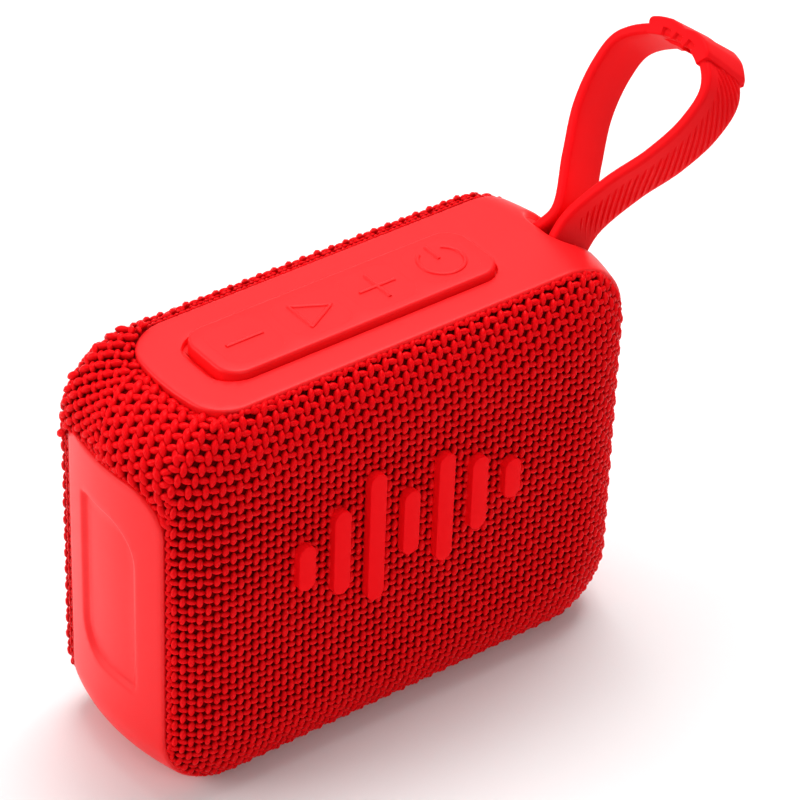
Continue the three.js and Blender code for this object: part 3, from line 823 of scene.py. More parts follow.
@dataclass
class Wrap:
    """The woven cloth: a backing, coloured dark to paint the shade in the gaps between floats, with one layer
    of yarn floats in plain weave.

    On the corners the cloth lies on the bias and its front and rear halves meet in a mitre.
    Steps of the corner weave are in the way round and the depth.
    """

    form: BodyForm
    finishes: Finishes
    column: float = 1.48
    row: float = 1.75
    columns_each_way: int = 36
    rows_each_way: int = 26
    corner_rows_each_way: int = 30
    bias_lift: float = 4.0
    backing_depth: float = 1.2
    backing_thickness: float = 0.5
    warp: Float = Float(2.35, 1.2, 1.35, 0.66)
    weft: Float = Float(2.05, 1.12, 1.2, 0.82)
    point: float = 0.22
    wander: float = math.radians(5)
    selvedge_pitch: float = 1.12
    selvedge_share: float = 0.86
    front_hem: tuple[float, ...] = (0.42,)
    rear_hem: tuple[float, ...] = (0.25, 0.95)
    hem_past_corner: float = 1.6
    past_panel: float = 8.0
    past_deck: float = 7.0
    past_both_ends: float = 60.0
    least_distance: float = 0.72
    ridge_pitch: float = 1.5
    front_weft_step: tuple[float, float] = (0.86, -1.4)
    front_warp_step: tuple[float, float] = (1.3, 1.3)
    rear_weft_step: tuple[float, float] = (0.92, 1.05)
    rear_warp_step: tuple[float, float] = (1.16, -1.25)
    mitre_at_panel: float = 0.5
    mitre_at_deck: float = 6.0
    rear_swell: float = 1.55

    def build(self) -> None:
        """Builds both covers and both corners."""
        self.beads = bead_tree()
        self.edge_points: list[np.ndarray] = []
        for name, side in (("front", -1.0), ("rear", 1.0)):
            self.cover(name, side)
        for name, half_turn in (("upper", False), ("lower", True)):
            self.corner(name, half_turn)

    def sew(self, name: str, warp: Seats, weft: Seats) -> list[bpy.types.Object]:
        """Grows the floats of one cloth.

        Args:
            name: the cloth's name.
            warp: the seats of the warp floats.
            weft: the seats of the weft floats.

        Returns:
            The warp piece and the weft piece.
        """
        pieces = []
        for seed, (kind, seats, shape) in enumerate((("warp", warp, self.warp), ("weft", weft, self.weft))):
            depth = (shape.sink + seats.sink)[:, None]
            seat = mesh_object(f"{name}_{kind}_seat", seats.points - seats.outward * depth, [])
            add = seat.data.attributes.new
            for key, values in (("along", seats.along), ("outward", seats.outward)):
                add(key, "FLOAT_VECTOR", "POINT").data.foreach_set("vector", values.ravel())
            for key, values in (("lean", seats.lean), ("share", seats.share)):
                add(key, "FLOAT", "POINT").data.foreach_set("value", values)
            piece = self.beads.grow(seat, f"{name}_{kind}", {
                "Length": shape.length * MM, "Width": shape.width * MM, "Height": shape.height * MM,
                "Point": self.point, "Wander": self.wander, "Seed": YARN_SEED + seed,
                "Material": self.finishes.yarn,
            })
            pieces.append(dress(piece, self.finishes.yarn, HOUSING))
        return pieces

    def spread(self, inset: float, half: float) -> tuple[np.ndarray, np.ndarray]:
        """Tabulates the way over a cover's edge against the plain distance from the middle.

        Args:
            inset: the width of the soft edge.
            half: the plain distance from the middle to the edge.

        Returns:
            The way and the plain distance, both rising.
        """
        plain = np.linspace(0.0, half, 400)
        reach = np.clip((plain - half + inset) / inset, 0.0, 1.0)
        depth = self.form.face_rise * self.form.fall(reach)
        steps = np.hypot(np.diff(plain), np.diff(depth))
        return np.concatenate([[0.0], np.cumsum(steps)]), plain

    def cover_chart(self, side: float) -> Callable[[np.ndarray, np.ndarray], np.ndarray]:
        """Gives the surface of a cover by the way along the cloth from the middle, across and up."""
        form = self.form
        across = self.spread(form.face_inset_side, form.edge_half_width)
        up = self.spread(form.face_inset_top, form.middle)
        down = self.spread(form.face_inset_base, form.middle)

        def surface(a: np.ndarray, b: np.ndarray) -> np.ndarray:
            """Places points of the cloth on the cover."""
            x = np.sign(a) * np.interp(np.abs(a), *across)
            z = form.middle + np.where(b > 0, np.interp(np.abs(b), *up), -np.interp(np.abs(b), *down))
            return form.cover(np.stack([x, z], axis=1), side)

        return surface

    def cover(self, name: str, side: float) -> None:
        """Builds the cloth of one cover.

        Args:
            name: front or rear.
            side: -1 for the front, 1 for the rear.
        """
        form = self.form
        surface = self.cover_chart(side)
        i, j = lattice(self.columns_each_way, self.rows_each_way)
        a = i * self.column
        pull = smooth(-a, 20.0, 47.0) * smooth(j * self.row, 2.0, 36.0)
        b = j * self.row + self.bias_lift * pull
        points, along_a, along_b, outward = frame_on(surface, a, b, flip=side > 0)
        limit = [self.spread(form.face_inset_side, form.edge_half_width)[0][-1],
                 self.spread(form.face_inset_top, form.middle)[0][-1],
                 self.spread(form.face_inset_base, form.middle)[0][-1]]
        gap = form.level(1.0).distance(points[:, [0, 2]])
        at_corner = self.near_corner(points)
        inside = gap > np.where(at_corner, 0.1, 0.6 if side < 0 else 1.0)
        inside &= (np.abs(a) < limit[0]) & (b < limit[1]) & (-b < limit[2])
        top = smooth(b, 14.0, 38.0)
        proud = -self.swell(side, gap)
        upright = (i + j) % 2 == 0
        lean = np.where(upright, np.radians(-7 - 14 * top), np.radians(-9 - 9 * top))
        rear_share = 0.12 * smooth(7.0 - gap, 1.0, 5.0) if side > 0 else 0.0
        share = 1.0 + 0.12 * top + 0.1 * pull + rear_share
        seats = Seats(points, np.where(upright[:, None], along_b, along_a), outward, lean, share, proud)
        warp, weft = seats.pick(inside & upright), seats.pick(inside & ~upright)
        self.edge_points.append(np.concatenate([warp.points, weft.points]))
        for inset in self.rear_hem if side > 0 else self.front_hem:
            weft = weft.joined(self.selvedge(side, inset))
        pieces = self.sew(f"{name}_cloth", warp, weft)
        backing = self.cover_backing(f"{name}_cloth_backing_painted_shade", side)
        # the backing's dark colour is painted shade for the gaps between the floats
        dress(backing, self.finishes.backing, HOUSING)
        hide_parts(f"{name}_cloth")

    def swell(self, side: float, gap: np.ndarray) -> np.ndarray:
        """Gives how far the rear cloth rolls up over its form beside the seam.

        Args:
            side: -1 for the front, which lies flat, or 1 for the rear.
            gap: how far inside the seam the points lie.

        Returns:
            The height over the form.
        """
        rise = 0.15 + 0.85 * smooth(gap, 0.1, 1.9)
        settle = 1.0 - smooth(gap, 2.2, 9.0)
        return (self.rear_swell if side > 0 else 0.0) * rise * settle

    def near_corner(self, points: np.ndarray, overlap: float = 0.0) -> np.ndarray:
        """Tells which points lie by a cloth corner rather than by a band, but for an overlap."""
        x, z = points[:, 0], points[:, 2]
        start, end = -Bands.deck_start + overlap, Bands.end_height_left + overlap
        return ((x < -start) & (z > end)) | ((x > start) & (z < self.form.height - end))

    def selvedge(self, side: float, inset: float) -> Seats:
        """Lays a row of small tucked floats along the bands.

        Args:
            side: -1 for the front, 1 for the rear.
            inset: how far inside the seam the row lies.

        Returns:
            Their seats.
        """
        ring = self.form.level(1.0).inset(inset).ring(step=self.selvedge_pitch, turns=16)
        points = self.form.cover(ring, side)
        tangent = unit(np.roll(points, -1, axis=0) - np.roll(points, 1, axis=0))
        centre = np.array([0.0, 0.0, self.form.middle])
        outward = unit(unit((points - centre) * np.array([1.0, 0.0, 1.0])) + np.array([0.0, side, 0.0]))
        count = len(points)
        lean = np.radians(np.where(np.arange(count) % 2 == 0, 48.0, -18.0))
        sink = np.full(count, -0.1) - self.swell(side, np.full(count, inset))
        seats = Seats(points, tangent, outward, lean, np.full(count, self.selvedge_share), sink)
        return seats.pick(~self.near_corner(points, self.hem_past_corner))

    def cover_backing(self, name: str, side: float) -> bpy.types.Object:
        """Builds the closed backing skin of a cover from rings of its form.

        Args:
            name: the piece's name.
            side: -1 for the front, 1 for the rear.

        Returns:
            The backing.
        """
        form = self.form
        reaches = np.linspace(0.0, 1.0, 13)
        rings = []
        lower = self.backing_depth + self.backing_thickness
        for depth, order in ((self.backing_depth, reaches), (lower, reaches[::-1])):
            for reach in order:
                loop = form.level(float(reach)).inset(depth * reach).ring(turns=10, step=200.0)
                y = form.band_half_depth + form.face_rise * (1.0 - form.fall(reach))
                y -= depth * (1.0 - 0.6 * reach)
                y += 0.6 * float(self.swell(side, np.array(form.face_inset_top * (1.0 - reach))))
                rings.append(np.stack([loop[:, 0], np.full(len(loop), side * y), loop[:, 1]], axis=1))
        count = len(rings[0])
        faces = [list(range(count))]
        for k in range(len(rings) - 1):
            for n in range(count):
                m = (n + 1) % count
                faces.append([k * count + n, (k + 1) * count + n, (k + 1) * count + m, k * count + m])
        faces.append(list(range((len(rings) - 1) * count, len(rings) * count))[::-1])
        if side > 0:
            faces = [f[::-1] for f in faces]
        return mesh_object(name, np.concatenate(rings), faces)

    def corner(self, name: str, half_turn: bool) -> None:
        """Builds the cloth that wraps over one corner, woven on the bias.

        Args:
            name: upper or lower.
            half_turn: True for the lower right corner.
        """
        form = self.form
        deck, panel = Bands.deck_start, -form.way_down(Bands.end_height_left)
        first, last = panel - self.past_panel, deck + self.past_deck

        def surface(s: np.ndarray, y: np.ndarray) -> np.ndarray:
            """Places points of the cloth on the corner."""
            points = form.wrap(s, y)
            return form.turned(points) if half_turn else points

        def mitre(s: np.ndarray) -> np.ndarray:
            """The depth of the mitre at a way round."""
            share = (s - panel) / (deck - panel)
            return self.mitre_at_panel + (self.mitre_at_deck - self.mitre_at_panel) * share

        depth, far = Bands.half_depth, self.past_both_ends
        round_deck = RoundRect((deck, -depth), (deck + far, depth), Bands.corner_radii)
        round_panel = RoundRect((panel - far, -depth), (panel, depth), Bands.corner_radii)

        def free(s: np.ndarray, y: np.ndarray) -> np.ndarray:
            """How far points lie outside both bands."""
            at = np.stack([s, y], axis=1)
            return -np.maximum(round_deck.distance(at), round_panel.distance(at))

        def dip(s: np.ndarray, y: np.ndarray) -> np.ndarray:
            """How deep the cloth tucks in beside the deck and at its own front and rear edges."""
            beside = -round_deck.distance(np.stack([s, y], axis=1))
            tuck = 0.75 * (1.0 - smooth(beside, 0.3, 3.0)) * smooth(13.6 - y, 0.5, 5.0)
            return tuck + 0.15 * smooth(-y, 11.0, 13.9) - 0.85 * self.rear_swell * smooth(y, 6.0, 13.0)

        halves = []
        for front, weft_step, warp_step in ((True, self.front_weft_step, self.front_warp_step),
                                            (False, self.rear_weft_step, self.rear_warp_step)):
            i, j = lattice(self.corner_rows_each_way, self.corner_rows_each_way)
            s = (deck + panel) / 2 + i * weft_step[0] + j * warp_step[0]
            y = mitre(s) + i * weft_step[1] + j * warp_step[1]
            past = mitre(s) - y if front else y - mitre(s)
            keep = (free(s, y) > 0.75) & (y > -13.85) & (y < 14.6) & (past > (0.3 if front else 0.55))
            keep &= (s > first) & (s < last)
            i, j, s, y = i[keep], j[keep], s[keep], y[keep]
            points, along_s, along_y, outward = frame_on(surface, s, y)
            upright = (i + j) % 2 == 0
            step = np.where(upright[:, None], warp_step, weft_step)
            along = unit(along_s * step[:, :1] + along_y * step[:, 1:])
            lean = np.radians(np.where(upright, -10.0 if front else 4.0, -4.0 if front else 8.0))
            share = np.full(len(s), 1.27 if front else 1.2)
            halves.append((Seats(points, along, outward, lean, share, dip(s, y)), upright))
        covers = np.concatenate(self.edge_points)
        (fore, fore_up), (aft, aft_up) = halves
        warp = fore.pick(fore_up).joined(aft.pick(aft_up)).clear_of(covers, self.least_distance)
        weft = fore.pick(~fore_up).joined(aft.pick(~aft_up)).clear_of(covers, self.least_distance)
        ridge = np.arange(panel + 1.2, deck - 1.0, self.ridge_pitch)
        at, along_s, along_y, outward = frame_on(surface, ridge, mitre(ridge) - 0.2)
        count = len(ridge)
        warp = warp.joined(Seats(at, unit(along_s + 0.3 * along_y), outward, np.full(count, 0.1),
                                 np.full(count, 1.0), dip(ridge, mitre(ridge)) - 0.05))
        for shape, margin in ((round_deck, 0.5), (round_panel, 0.35)):
            ring = shape.inset(-margin).ring(step=self.selvedge_pitch, turns=8)
            following = np.roll(ring, -1, axis=0) - ring
            near = (free(ring[:, 0], ring[:, 1]) > 0.1) & (np.abs(ring[:, 1]) < 13.7)
            near &= (ring[:, 0] > first) & (ring[:, 0] < last)
            ring, following = ring[near], following[near]
            at, along_s, along_y, outward = frame_on(surface, ring[:, 0], ring[:, 1])
            count = len(ring)
            lean = np.radians(np.where(np.arange(count) % 2 == 0, 40.0, -20.0))
            edge = Seats(at, unit(along_s * following[:, :1] + along_y * following[:, 1:]), outward, lean,
                         np.full(count, self.selvedge_share), dip(ring[:, 0], ring[:, 1]) + 0.05)
            weft = weft.joined(edge)
        pieces = self.sew(f"corner_cloth_{name}", warp, weft)

        def place(a: np.ndarray, b: np.ndarray, height: np.ndarray) -> np.ndarray:
            """Lays the backing under the floats."""
            at, _, _, out = frame_on(surface, a, b)
            return at + out * height[:, None]

        outline = RoundRect((first, -13.7), (last, 14.8), (0.3,) * 4)
        pattern = Pattern(outline)
        pattern.ring(outline, self.backing_depth)
        pattern.fill(0.8, lambda p: self.backing_depth + 0.7 * dip(p[:, 0], p[:, 1]))
        underside = self.backing_depth + self.backing_thickness
        backing = pattern.lay(f"corner_cloth_{name}_backing", place, underside)
        # the lighter corner backing paints the light that reaches the corner gaps
        dress(backing, self.finishes.lining, HOUSING)
        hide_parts(f"corner_cloth_{name}")


# ------------------------------------------------------------------ bands
@dataclass
class Bands:
    """The two satin bands: over the top and down the right end, and down the left end and under.

    The recess is placed by its heights on the band before the half turn. The moat round the key pad
    is a list of insets from the pad's outline with their depths.
    """

    form: BodyForm
    finishes: Finishes
    deck_start: float = -36.0
    end_height_left: float = 62.2
    half_depth: float = 13.6
    thickness: float = 1.9
    edge_radius: float = 0.55
    corner_radii: tuple[float, float, float, float] = (5.2, 7.4, 2.6, 6.8)
    slot_way: float = 42.7
    slot_half_length: float = 5.2
    slot_front: float = -5.9
    slot_rear: float = 7.0
    flap_gap: float = 0.25
    slot_rim: float = 0.7
    recess_depth: float = 0.8
    recess_soft: float = 1.5
    recess_low: float = 55.4
    recess_high: float = 21.2
    recess_half_depth: float = 8.1
    recess_radii: tuple[float, float, float, float] = (1.8, 7.6, 1.8, 7.6)
    moat: tuple[tuple[float, float], ...] = (
        (-0.62, 0.0), (-0.48, 0.04), (-0.38, 0.2), (-0.34, 1.2), (0.6, 1.25), (1.1, 1.25),
    )

    def build(self) -> None:
        """Builds both bands."""
        end = self.form.way_down(self.form.height - self.end_height_left)
        self.outline = RoundRect((self.deck_start, -self.half_depth), (end, self.half_depth),
                                 self.corner_radii)
        self.top_band()
        self.base_band()

    def surface(self, half_turn: bool) -> Place:
        """Gives the placing function of a band.

        Args:
            half_turn: True for the lower band.

        Returns:
            A function of the way, the depth and the height over the surface.
        """

        def place(s: np.ndarray, y: np.ndarray, height: np.ndarray) -> np.ndarray:
            """Lays pattern points on the band."""
            at, _, _, out = frame_on(self.form.wrap, s, y)
            points = at + out * height[:, None]
            return self.form.turned(points) if half_turn else points

        return place

    def slot_rings(self) -> list[tuple[RoundRect, float]]:
        """Lists the rings of the dished strap slot with their depths, from the rim inwards."""
        rim, way, half = self.slot_rim, self.slot_way, self.slot_half_length
        front, rear = self.slot_front, self.slot_rear

        def shape(margin: float, rear_margin: float, radius: float) -> RoundRect:
            """Draws the slot in by a margin, with its own margin at the rear."""
            low, high = (way - half + margin, front + margin), (way + half - margin, rear - rear_margin)
            return RoundRect(low, high, (radius,) * 4)

        rings = []
        for turn in np.radians((0, 22, 45, 68, 88)):
            reach = rim * (math.sin(turn) - 1)
            rings.append((shape(reach, reach, 4.7 - reach), rim * (1 - math.cos(turn))))
        for margin, rear_margin, radius, depth in (
                (0.05, 0.25, 4.5, 1.15), (0.1, 1.2, 4.1, 1.3), (0.15, 1.7, 3.6, 1.7), (0.2, 2.0, 3.2, 3.0)):
            rings.append((shape(margin, rear_margin, radius), depth))
        return rings

    def flap_shape(self) -> RoundRect:
        """The outline of the port flap on the right end."""
        low, high = box_mm("port_flap")
        half = (high[1] - low[1]) / 2
        return RoundRect((self.form.way_down(high[2]), -half), (self.form.way_down(low[2]), half), (2.5,) * 4)

    def top_band(self) -> None:
        """Builds the top band with the pad seat, the strap slot and the flap seat."""
        pattern = Pattern(self.outline)
        pattern.rounded_edge(self.outline, self.edge_radius)
        for shape, depth in self.slot_rings():
            pattern.ring(shape, depth, step=0.8, turns=10)
        pattern.holes.append(self.slot_rings()[-1][0])
        pattern.keep_clear.append(self.slot_rings()[0][0].inset(-0.4))
        low, high = box_mm("button_pad")
        rim = RoundRect((low[0], low[1]), (high[0], high[1]), (PAD_RADIUS,) * 4)
        for margin, depth in self.moat:
            pattern.ring(rim.inset(margin), depth)
        pattern.holes.append(rim.inset(self.moat[-1][0]))
        pattern.keep_clear.append(rim.inset(-self.moat[-1][0]))
        flap = self.flap_shape().inset(-self.flap_gap)
        pattern.rounded_edge(flap, 0.3, inward=False)
        pattern.holes.append(flap)
        pattern.fill(self.edge_radius + 0.4)
        band = pattern.lay("top_band_skin", self.surface(False), self.thickness)
        dress(band, self.finishes.panel, HOUSING)
        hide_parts("top_band")

    def base_band(self) -> None:
        """Builds the lower band with the shallow recess in the left end."""
        depth, soft, half = self.recess_depth, self.recess_soft, self.recess_half_depth
        way_down = self.form.way_down
        recess = RoundRect((way_down(self.recess_low), -half), (way_down(self.recess_high), half),
                           self.recess_radii)
        pattern = Pattern(self.outline)
        pattern.rounded_edge(self.outline, self.edge_radius)
        for share in np.linspace(0.0, 1.0, 8):
            pattern.ring(recess.inset(soft * share), depth * float(smooth(np.array(share), 0.0, 1.0)))
        pattern.keep_clear.append(recess.inset(-0.4))
        inner = recess.inset(soft + 0.4)
        pattern.fill(self.edge_radius + 0.4)
        counts = [int((high - low) / pattern.spacing) for low, high in zip(inner.low, inner.high)]
        axes = [np.linspace(low, high, count) for low, high, count in zip(inner.low, inner.high, counts)]
        grid = np.stack(np.meshgrid(*axes, indexing="ij"), axis=-1).reshape(-1, 2)
        grid = grid[inner.distance(grid) > 0]
        pattern.points.append(grid)
        pattern.depths.append(np.full(len(grid), -depth))
        band = pattern.lay("base_band_skin", self.surface(True), self.thickness)
        dress(band, self.finishes.panel, HOUSING)
        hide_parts("base_band")


@dataclass
class Flap:
    """The rubber flap over the charging inlet."""

    bands: Bands
    finishes: Finishes
    thickness: float = 1.6
    edge_radius: float = 0.3
    rib_half_depth: float = 3.6
    rib_half_height: float = 0.9
    rib_root: float = 47.9

    def build(self) -> None:
        """Builds the flap with its finger lip and the rib that seals the inlet."""
        shape = self.bands.flap_shape()
        pattern = Pattern(shape, spacing=0.7)
        pattern.rounded_edge(shape, self.edge_radius)
        start = shape.low[0]

        def lip(points: np.ndarray) -> np.ndarray:
            """Hollows a finger catch near the upper end of the flap."""
            along = (points[:, 0] - start - 2.6) / 1.1
            over = points[:, 1] / 3.2
            return 0.45 * np.exp(-(along**2) - over**4)

        pattern.fill(0.6, lip)
        flap = pattern.lay("port_flap_skin", self.bands.surface(False), self.thickness)
        dress(flap, self.finishes.key, "flap")
        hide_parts("port_flap")
        self.rib()

    def rib(self) -> None:
        """Builds the plug rib on the back of the flap."""
        low, _ = box_mm("port_flap")
        socket_low, socket_high = box_mm("port_socket")
        centre = (socket_low[2] + socket_high[2]) / 2
        half, tall = self.rib_half_depth, self.rib_half_height
        pattern = Pattern(RoundRect((-half, centre - tall), (half, centre + tall), (0.8,) * 4), spacing=0.8)
        pattern.rounded_edge(pattern.outline, self.edge_radius)

        def place(y: np.ndarray, z: np.ndarray, height: np.ndarray) -> np.ndarray:
            """Points the rib into the body."""
            return np.stack([low[0] - height, -y, z], axis=1)

        rib = pattern.lay("port_flap_rib", place, self.rib_root - low[0])
        dress(rib, self.finishes.key, "flap")


# ------------------------------------------------------------------ key pad
@dataclass
class KeyPad:
    """The raised pad with four keys that share its surface, and their raised signs."""

    finishes: Finishes
    ridges: ShapeTree
    key_radius: float = 3.0
    edge_radius: float = 0.6
    hairline: float = 0.01
    stroke: float = 0.4
    sink: float = 0.1
    pad_thickness: float = 2.65
    key_thickness: float = 2.75
    sign_reach: float = 3.6
    ring_radius: float = 4.0

    def build(self) -> None:
        """Builds the pad, the keys and the signs."""
        self.low, self.high = box_mm("button_pad")
        keys = {name: self.key_shape(name) for name in KEY_NAMES}
        self.pad(list(keys.values()))
        for name, shape in keys.items():
            self.key(name, shape)

    def key_shape(self, name: str) -> RoundRect:
        """The outline of a key, seen from above."""
        low, high = box_mm(f"key_{name}")
        return RoundRect((low[0], low[1]), (high[0], high[1]), (self.key_radius,) * 4)

    def place(self, x: np.ndarray, y: np.ndarray, height: np.ndarray) -> np.ndarray:
        """Lays pattern points on the top of the pad."""
        return np.stack([x, y, self.high[2] + height], axis=1)

    def pad(self, keys: list[RoundRect]) -> None:
        """Builds the pad round its keys.

        Args:
            keys: the outlines of the keys.
        """
        outline = RoundRect((self.low[0], self.low[1]), (self.high[0], self.high[1]), (PAD_RADIUS,) * 4)
        pattern = Pattern(outline)
        pattern.rounded_edge(outline, self.edge_radius)
        for shape in keys:
            pattern.ring(shape, 0.0)
            pattern.holes.append(shape)
            pattern.keep_clear.append(shape)
        pad = pattern.lay("button_pad_skin", self.place, self.pad_thickness)
        dress(pad, self.finishes.key, HOUSING)
        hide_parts("button_pad")

    def key(self, name: str, shape: RoundRect) -> None:
        """Builds one key and its sign.

        Args:
            name: the key's name.
            shape: its outline.
        """
        body = f"{name}_key"
        pattern = Pattern(shape.inset(self.hairline))
        pattern.ring(pattern.outline, 0.0)
        key = pattern.lay(f"key_{name}_plate", self.place, self.key_thickness)
        dress(key, self.finishes.key, body)
        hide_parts(f"key_{name}")
        centre = (np.array(shape.low) + np.array(shape.high)) / 2
        chains = self.sign(name, centre)
        points = np.concatenate([c for c, _ in chains])
        edges = []
        start = 0
        for line, closed in chains:
            count = len(line)
            edges += [(start + k, start + k + 1) for k in range(count - 1)]
            edges += [(start + count - 1, start)] if closed else []
            start += count
        placed = self.place(points[:, 0], points[:, 1], np.full(len(points), -self.sink))
        seat = line_object(f"sign_{name}_line", placed, edges)
        sign = self.ridges.grow(seat, f"sign_{name}", {
            "Radius": self.stroke * MM, "Sides": 10, "Material": self.finishes.key})
        dress(sign, self.finishes.key, body)

    def sign(self, name: str, centre: np.ndarray) -> list[tuple[np.ndarray, bool]]:
        """Gives the lines of a key's sign.

        Args:
            name: the key's name.
            centre: the middle of the key.

        Returns:
            Chains of points, each with whether it closes on itself.
        """
        reach = self.sign_reach
        level = (centre + chain((-reach, 0), (reach, 0)), False)
        if name == "minus":
            return [level]
        if name == "plus":
            return [level, (centre + chain((0, -reach), (0, reach)), False)]
        if name == "play":
            return [(centre + chain((-2.3, -3.4), (3.9, 0), (-2.3, 3.4), closed=True), True)]
        angles = np.radians(np.linspace(125, 415, 40))
        ring = self.ring_radius * np.stack([np.cos(angles), np.sin(angles)], axis=1)
        return [(centre + ring, False), (centre + chain((0, 0.6), (0, 4.6)), False)]


def chain(*corners: tuple[float, float], closed: bool = False, step: float = 0.5) -> np.ndarray:
    """Samples straight lines between corners.

    Args:
        corners: the corners in order.
        closed: True to come back to the first corner, which isn't repeated.
        step: the spacing of the points.

    Returns:
        The points.
    """
    stops = np.array(corners + (corners[:1] if closed else ()), dtype=float)
    parts = []
    for start, stop in zip(stops[:-1], stops[1:]):
        count = max(int(np.linalg.norm(stop - start) / step), 1)
        parts.append(start + (stop - start) * (np.arange(count) / count)[:, None])
    return np.concatenate(parts if closed else parts + [stops[-1:]])


def line_object(name: str, points: np.ndarray, edges: list[tuple[int, int]]) -> bpy.types.Object:
    """Makes an object of bare edges from points in millimetres."""
    mesh = bpy.data.meshes.new(name)
    mesh.from_pydata([tuple(p) for p in points * MM], edges, [])
    made = bpy.data.objects.new(name, mesh)
    bpy.context.scene.collection.objects.link(made)
    return made


# ------------------------------------------------------------------ emblem
@dataclass
class Emblem:
    """Seven level bars on the front cover."""

    finishes: Finishes
    edge_radius: float = 0.12

    def build(self) -> None:
        """Builds the bars where the frame has them."""
        for number in range(1, EMBLEM_BARS + 1):
            node = f"emblem_bar_{number}"
            low, high = box_mm(node)
            radius = (high[0] - low[0]) / 2 - 0.01
            outline = RoundRect((low[0], low[2]), (high[0], high[2]), (radius,) * 4)
            pattern = Pattern(outline, spacing=1.0)
            pattern.rounded_edge(outline, self.edge_radius)

            def place(x: np.ndarray, z: np.ndarray, height: np.ndarray) -> np.ndarray:
                """Raises the bar from the cloth."""
                return np.stack([x, low[1] - height, z], axis=1)

            bar = pattern.lay(f"{node}_face", place, float(high[1] - low[1]) + 0.3)
            dress(bar, self.finishes.emblem, HOUSING)
            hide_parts(node)


# ------------------------------------------------------------------ strap
@dataclass
class Strap:
    """The moulded wrist strap: a loop of flat band, ribs on its front leg and a clasp at its top."""

    form: BodyForm
    finishes: Finishes
    ridges: ShapeTree
    lean: float = math.radians(37)
    width: float = 9.8
    thickness: float = 2.0
    drift: float = -1.1
    pin_depth: float = 4.8
    stops: tuple[tuple[float, float], ...] = (
        (-7.2, 0), (-6.4, -1.8), (-4.8, -2.4), (-2.4, -2.3), (2.8, -1.6), (11.8, -5.4), (19.6, -10.0),
        (27.4, -12.9), (33.8, -12.9), (37.9, -8.7), (38.7, -2.2), (36.5, 4.6), (32.6, 9.1), (27, 10),
        (19.7, 8.9), (11.6, 5.3), (2.8, 1.2), (-2.4, 2.3), (-4.8, 2.4), (-6.4, 1.8),
    )
    edge_radius: float = 0.75
    spans: int = 260
    rib_radius: float = 0.3
    rib_sunk: float = 0.27
    clasp_length: float = 14.9

    def build(self) -> None:
        """Builds the band, its ribs and the clasp."""
        self.path = self.smooth_loop()
        steps = np.linalg.norm(np.roll(self.path, -1, axis=0) - self.path, axis=1)
        self.way = np.concatenate([[0.0], np.cumsum(steps)])
        self.band()
        self.ribs()
        self.clasp()

    def smooth_loop(self, per_span: int = 24) -> np.ndarray:
        """Runs a centripetal spline through the stops.

        Args:
            per_span: how many points each span gets.

        Returns:
            Points of the closed middle line, in U and V.
        """
        stops = np.array(self.stops, dtype=float)
        stops[:, 1] += self.drift * smooth(stops[:, 0], -self.pin_depth, 3.0)
        count = len(stops)
        parts = []
        for k in range(count):
            p0, p1, p2, p3 = (stops[(k + d) % count] for d in (-1, 0, 1, 2))
            d0, d1, d2 = (math.sqrt(np.linalg.norm(b - a)) for a, b in ((p0, p1), (p1, p2), (p2, p3)))
            t1 = ((p1 - p0) / d0 - (p2 - p0) / (d0 + d1) + (p2 - p1) / d1) * d1
            t2 = ((p2 - p1) / d1 - (p3 - p1) / (d1 + d2) + (p3 - p2) / d2) * d1
            t = (np.arange(per_span) / per_span)[:, None]
            square = (-3 * p1 + 3 * p2 - 2 * t1 - t2) * t**2
            parts.append(p1 + t1 * t + square + (2 * p1 - 2 * p2 + t1 + t2) * t**3)
        return np.concatenate(parts)

    def at(self, fraction: np.ndarray) -> tuple[np.ndarray, np.ndarray]:
        """Points and outward directions on the middle line.

        Args:
            fraction: shares of the whole way round.

        Returns:
            The points and the unit directions out of the loop, in U and V.
        """
        way = np.mod(fraction, 1.0) * self.way[-1]
        closed = np.vstack([self.path, self.path[:1]])
        small = 0.15

        def point_at(ways: np.ndarray) -> np.ndarray:
            """Finds the point of the path at each arc length."""
            return np.stack([np.interp(ways, self.way, closed[:, k]) for k in (0, 1)], axis=1)

        point = point_at(way)
        ahead, behind = (point_at(np.mod(way + step, self.way[-1])) for step in (small, -small))
        along = unit(ahead - behind)
        return point, np.stack([along[:, 1], -along[:, 0]], axis=1)

    def place(self, u: np.ndarray, v: np.ndarray, w: np.ndarray) -> np.ndarray:
        """Takes points of the strap's own frame into the speaker's.

        Args:
            u: out of the corner.
            v: towards the rear.
            w: across the strap.

        Returns:
            The points in space.
        """
        outward = np.array([math.sin(self.lean), 0.0, math.cos(self.lean)])
        across = np.array([-math.cos(self.lean), 0.0, math.sin(self.lean)])
        form = self.form
        centre = np.array([form.edge_half_width + form.side_bulge - form.corner_radius, 0.0,
                           form.height - form.corner_radius])
        origin = centre + outward * form.corner_radius
        return origin + u[:, None] * outward + v[:, None] * np.array([0.0, 1.0, 0.0]) + w[:, None] * across

    def sweep(self, name: str, ways: np.ndarray, sections: np.ndarray, closed: bool) -> bpy.types.Object:
        """Sweeps a section round part of the loop.

        Args:
            name: the piece's name.
            ways: the way round to each vertex of each section, or to each whole section.
            sections: for each section its vertices, as distance out of the loop and across it.
            closed: True where the last section meets the first.

        Returns:
            The swept piece.
        """
        spans, count = sections.shape[:2]
        ways = np.broadcast_to(ways.reshape(spans, -1), (spans, count))
        point, out = self.at(ways.ravel() / self.way[-1])
        flat = sections.reshape(-1, 2)
        uv = point + flat[:, :1] * out
        points = self.place(uv[:, 0], uv[:, 1], flat[:, 1])
        faces = []
        for k in range(spans if closed else spans - 1):
            after = (k + 1) % spans
            for n in range(count):
                m = (n + 1) % count
                faces.append((k * count + n, k * count + m, after * count + m, after * count + n))
        if not closed:
            faces.append(tuple(range(count))[::-1])
            faces.append(tuple(range((spans - 1) * count, spans * count)))
        return mesh_object(name, points, faces)

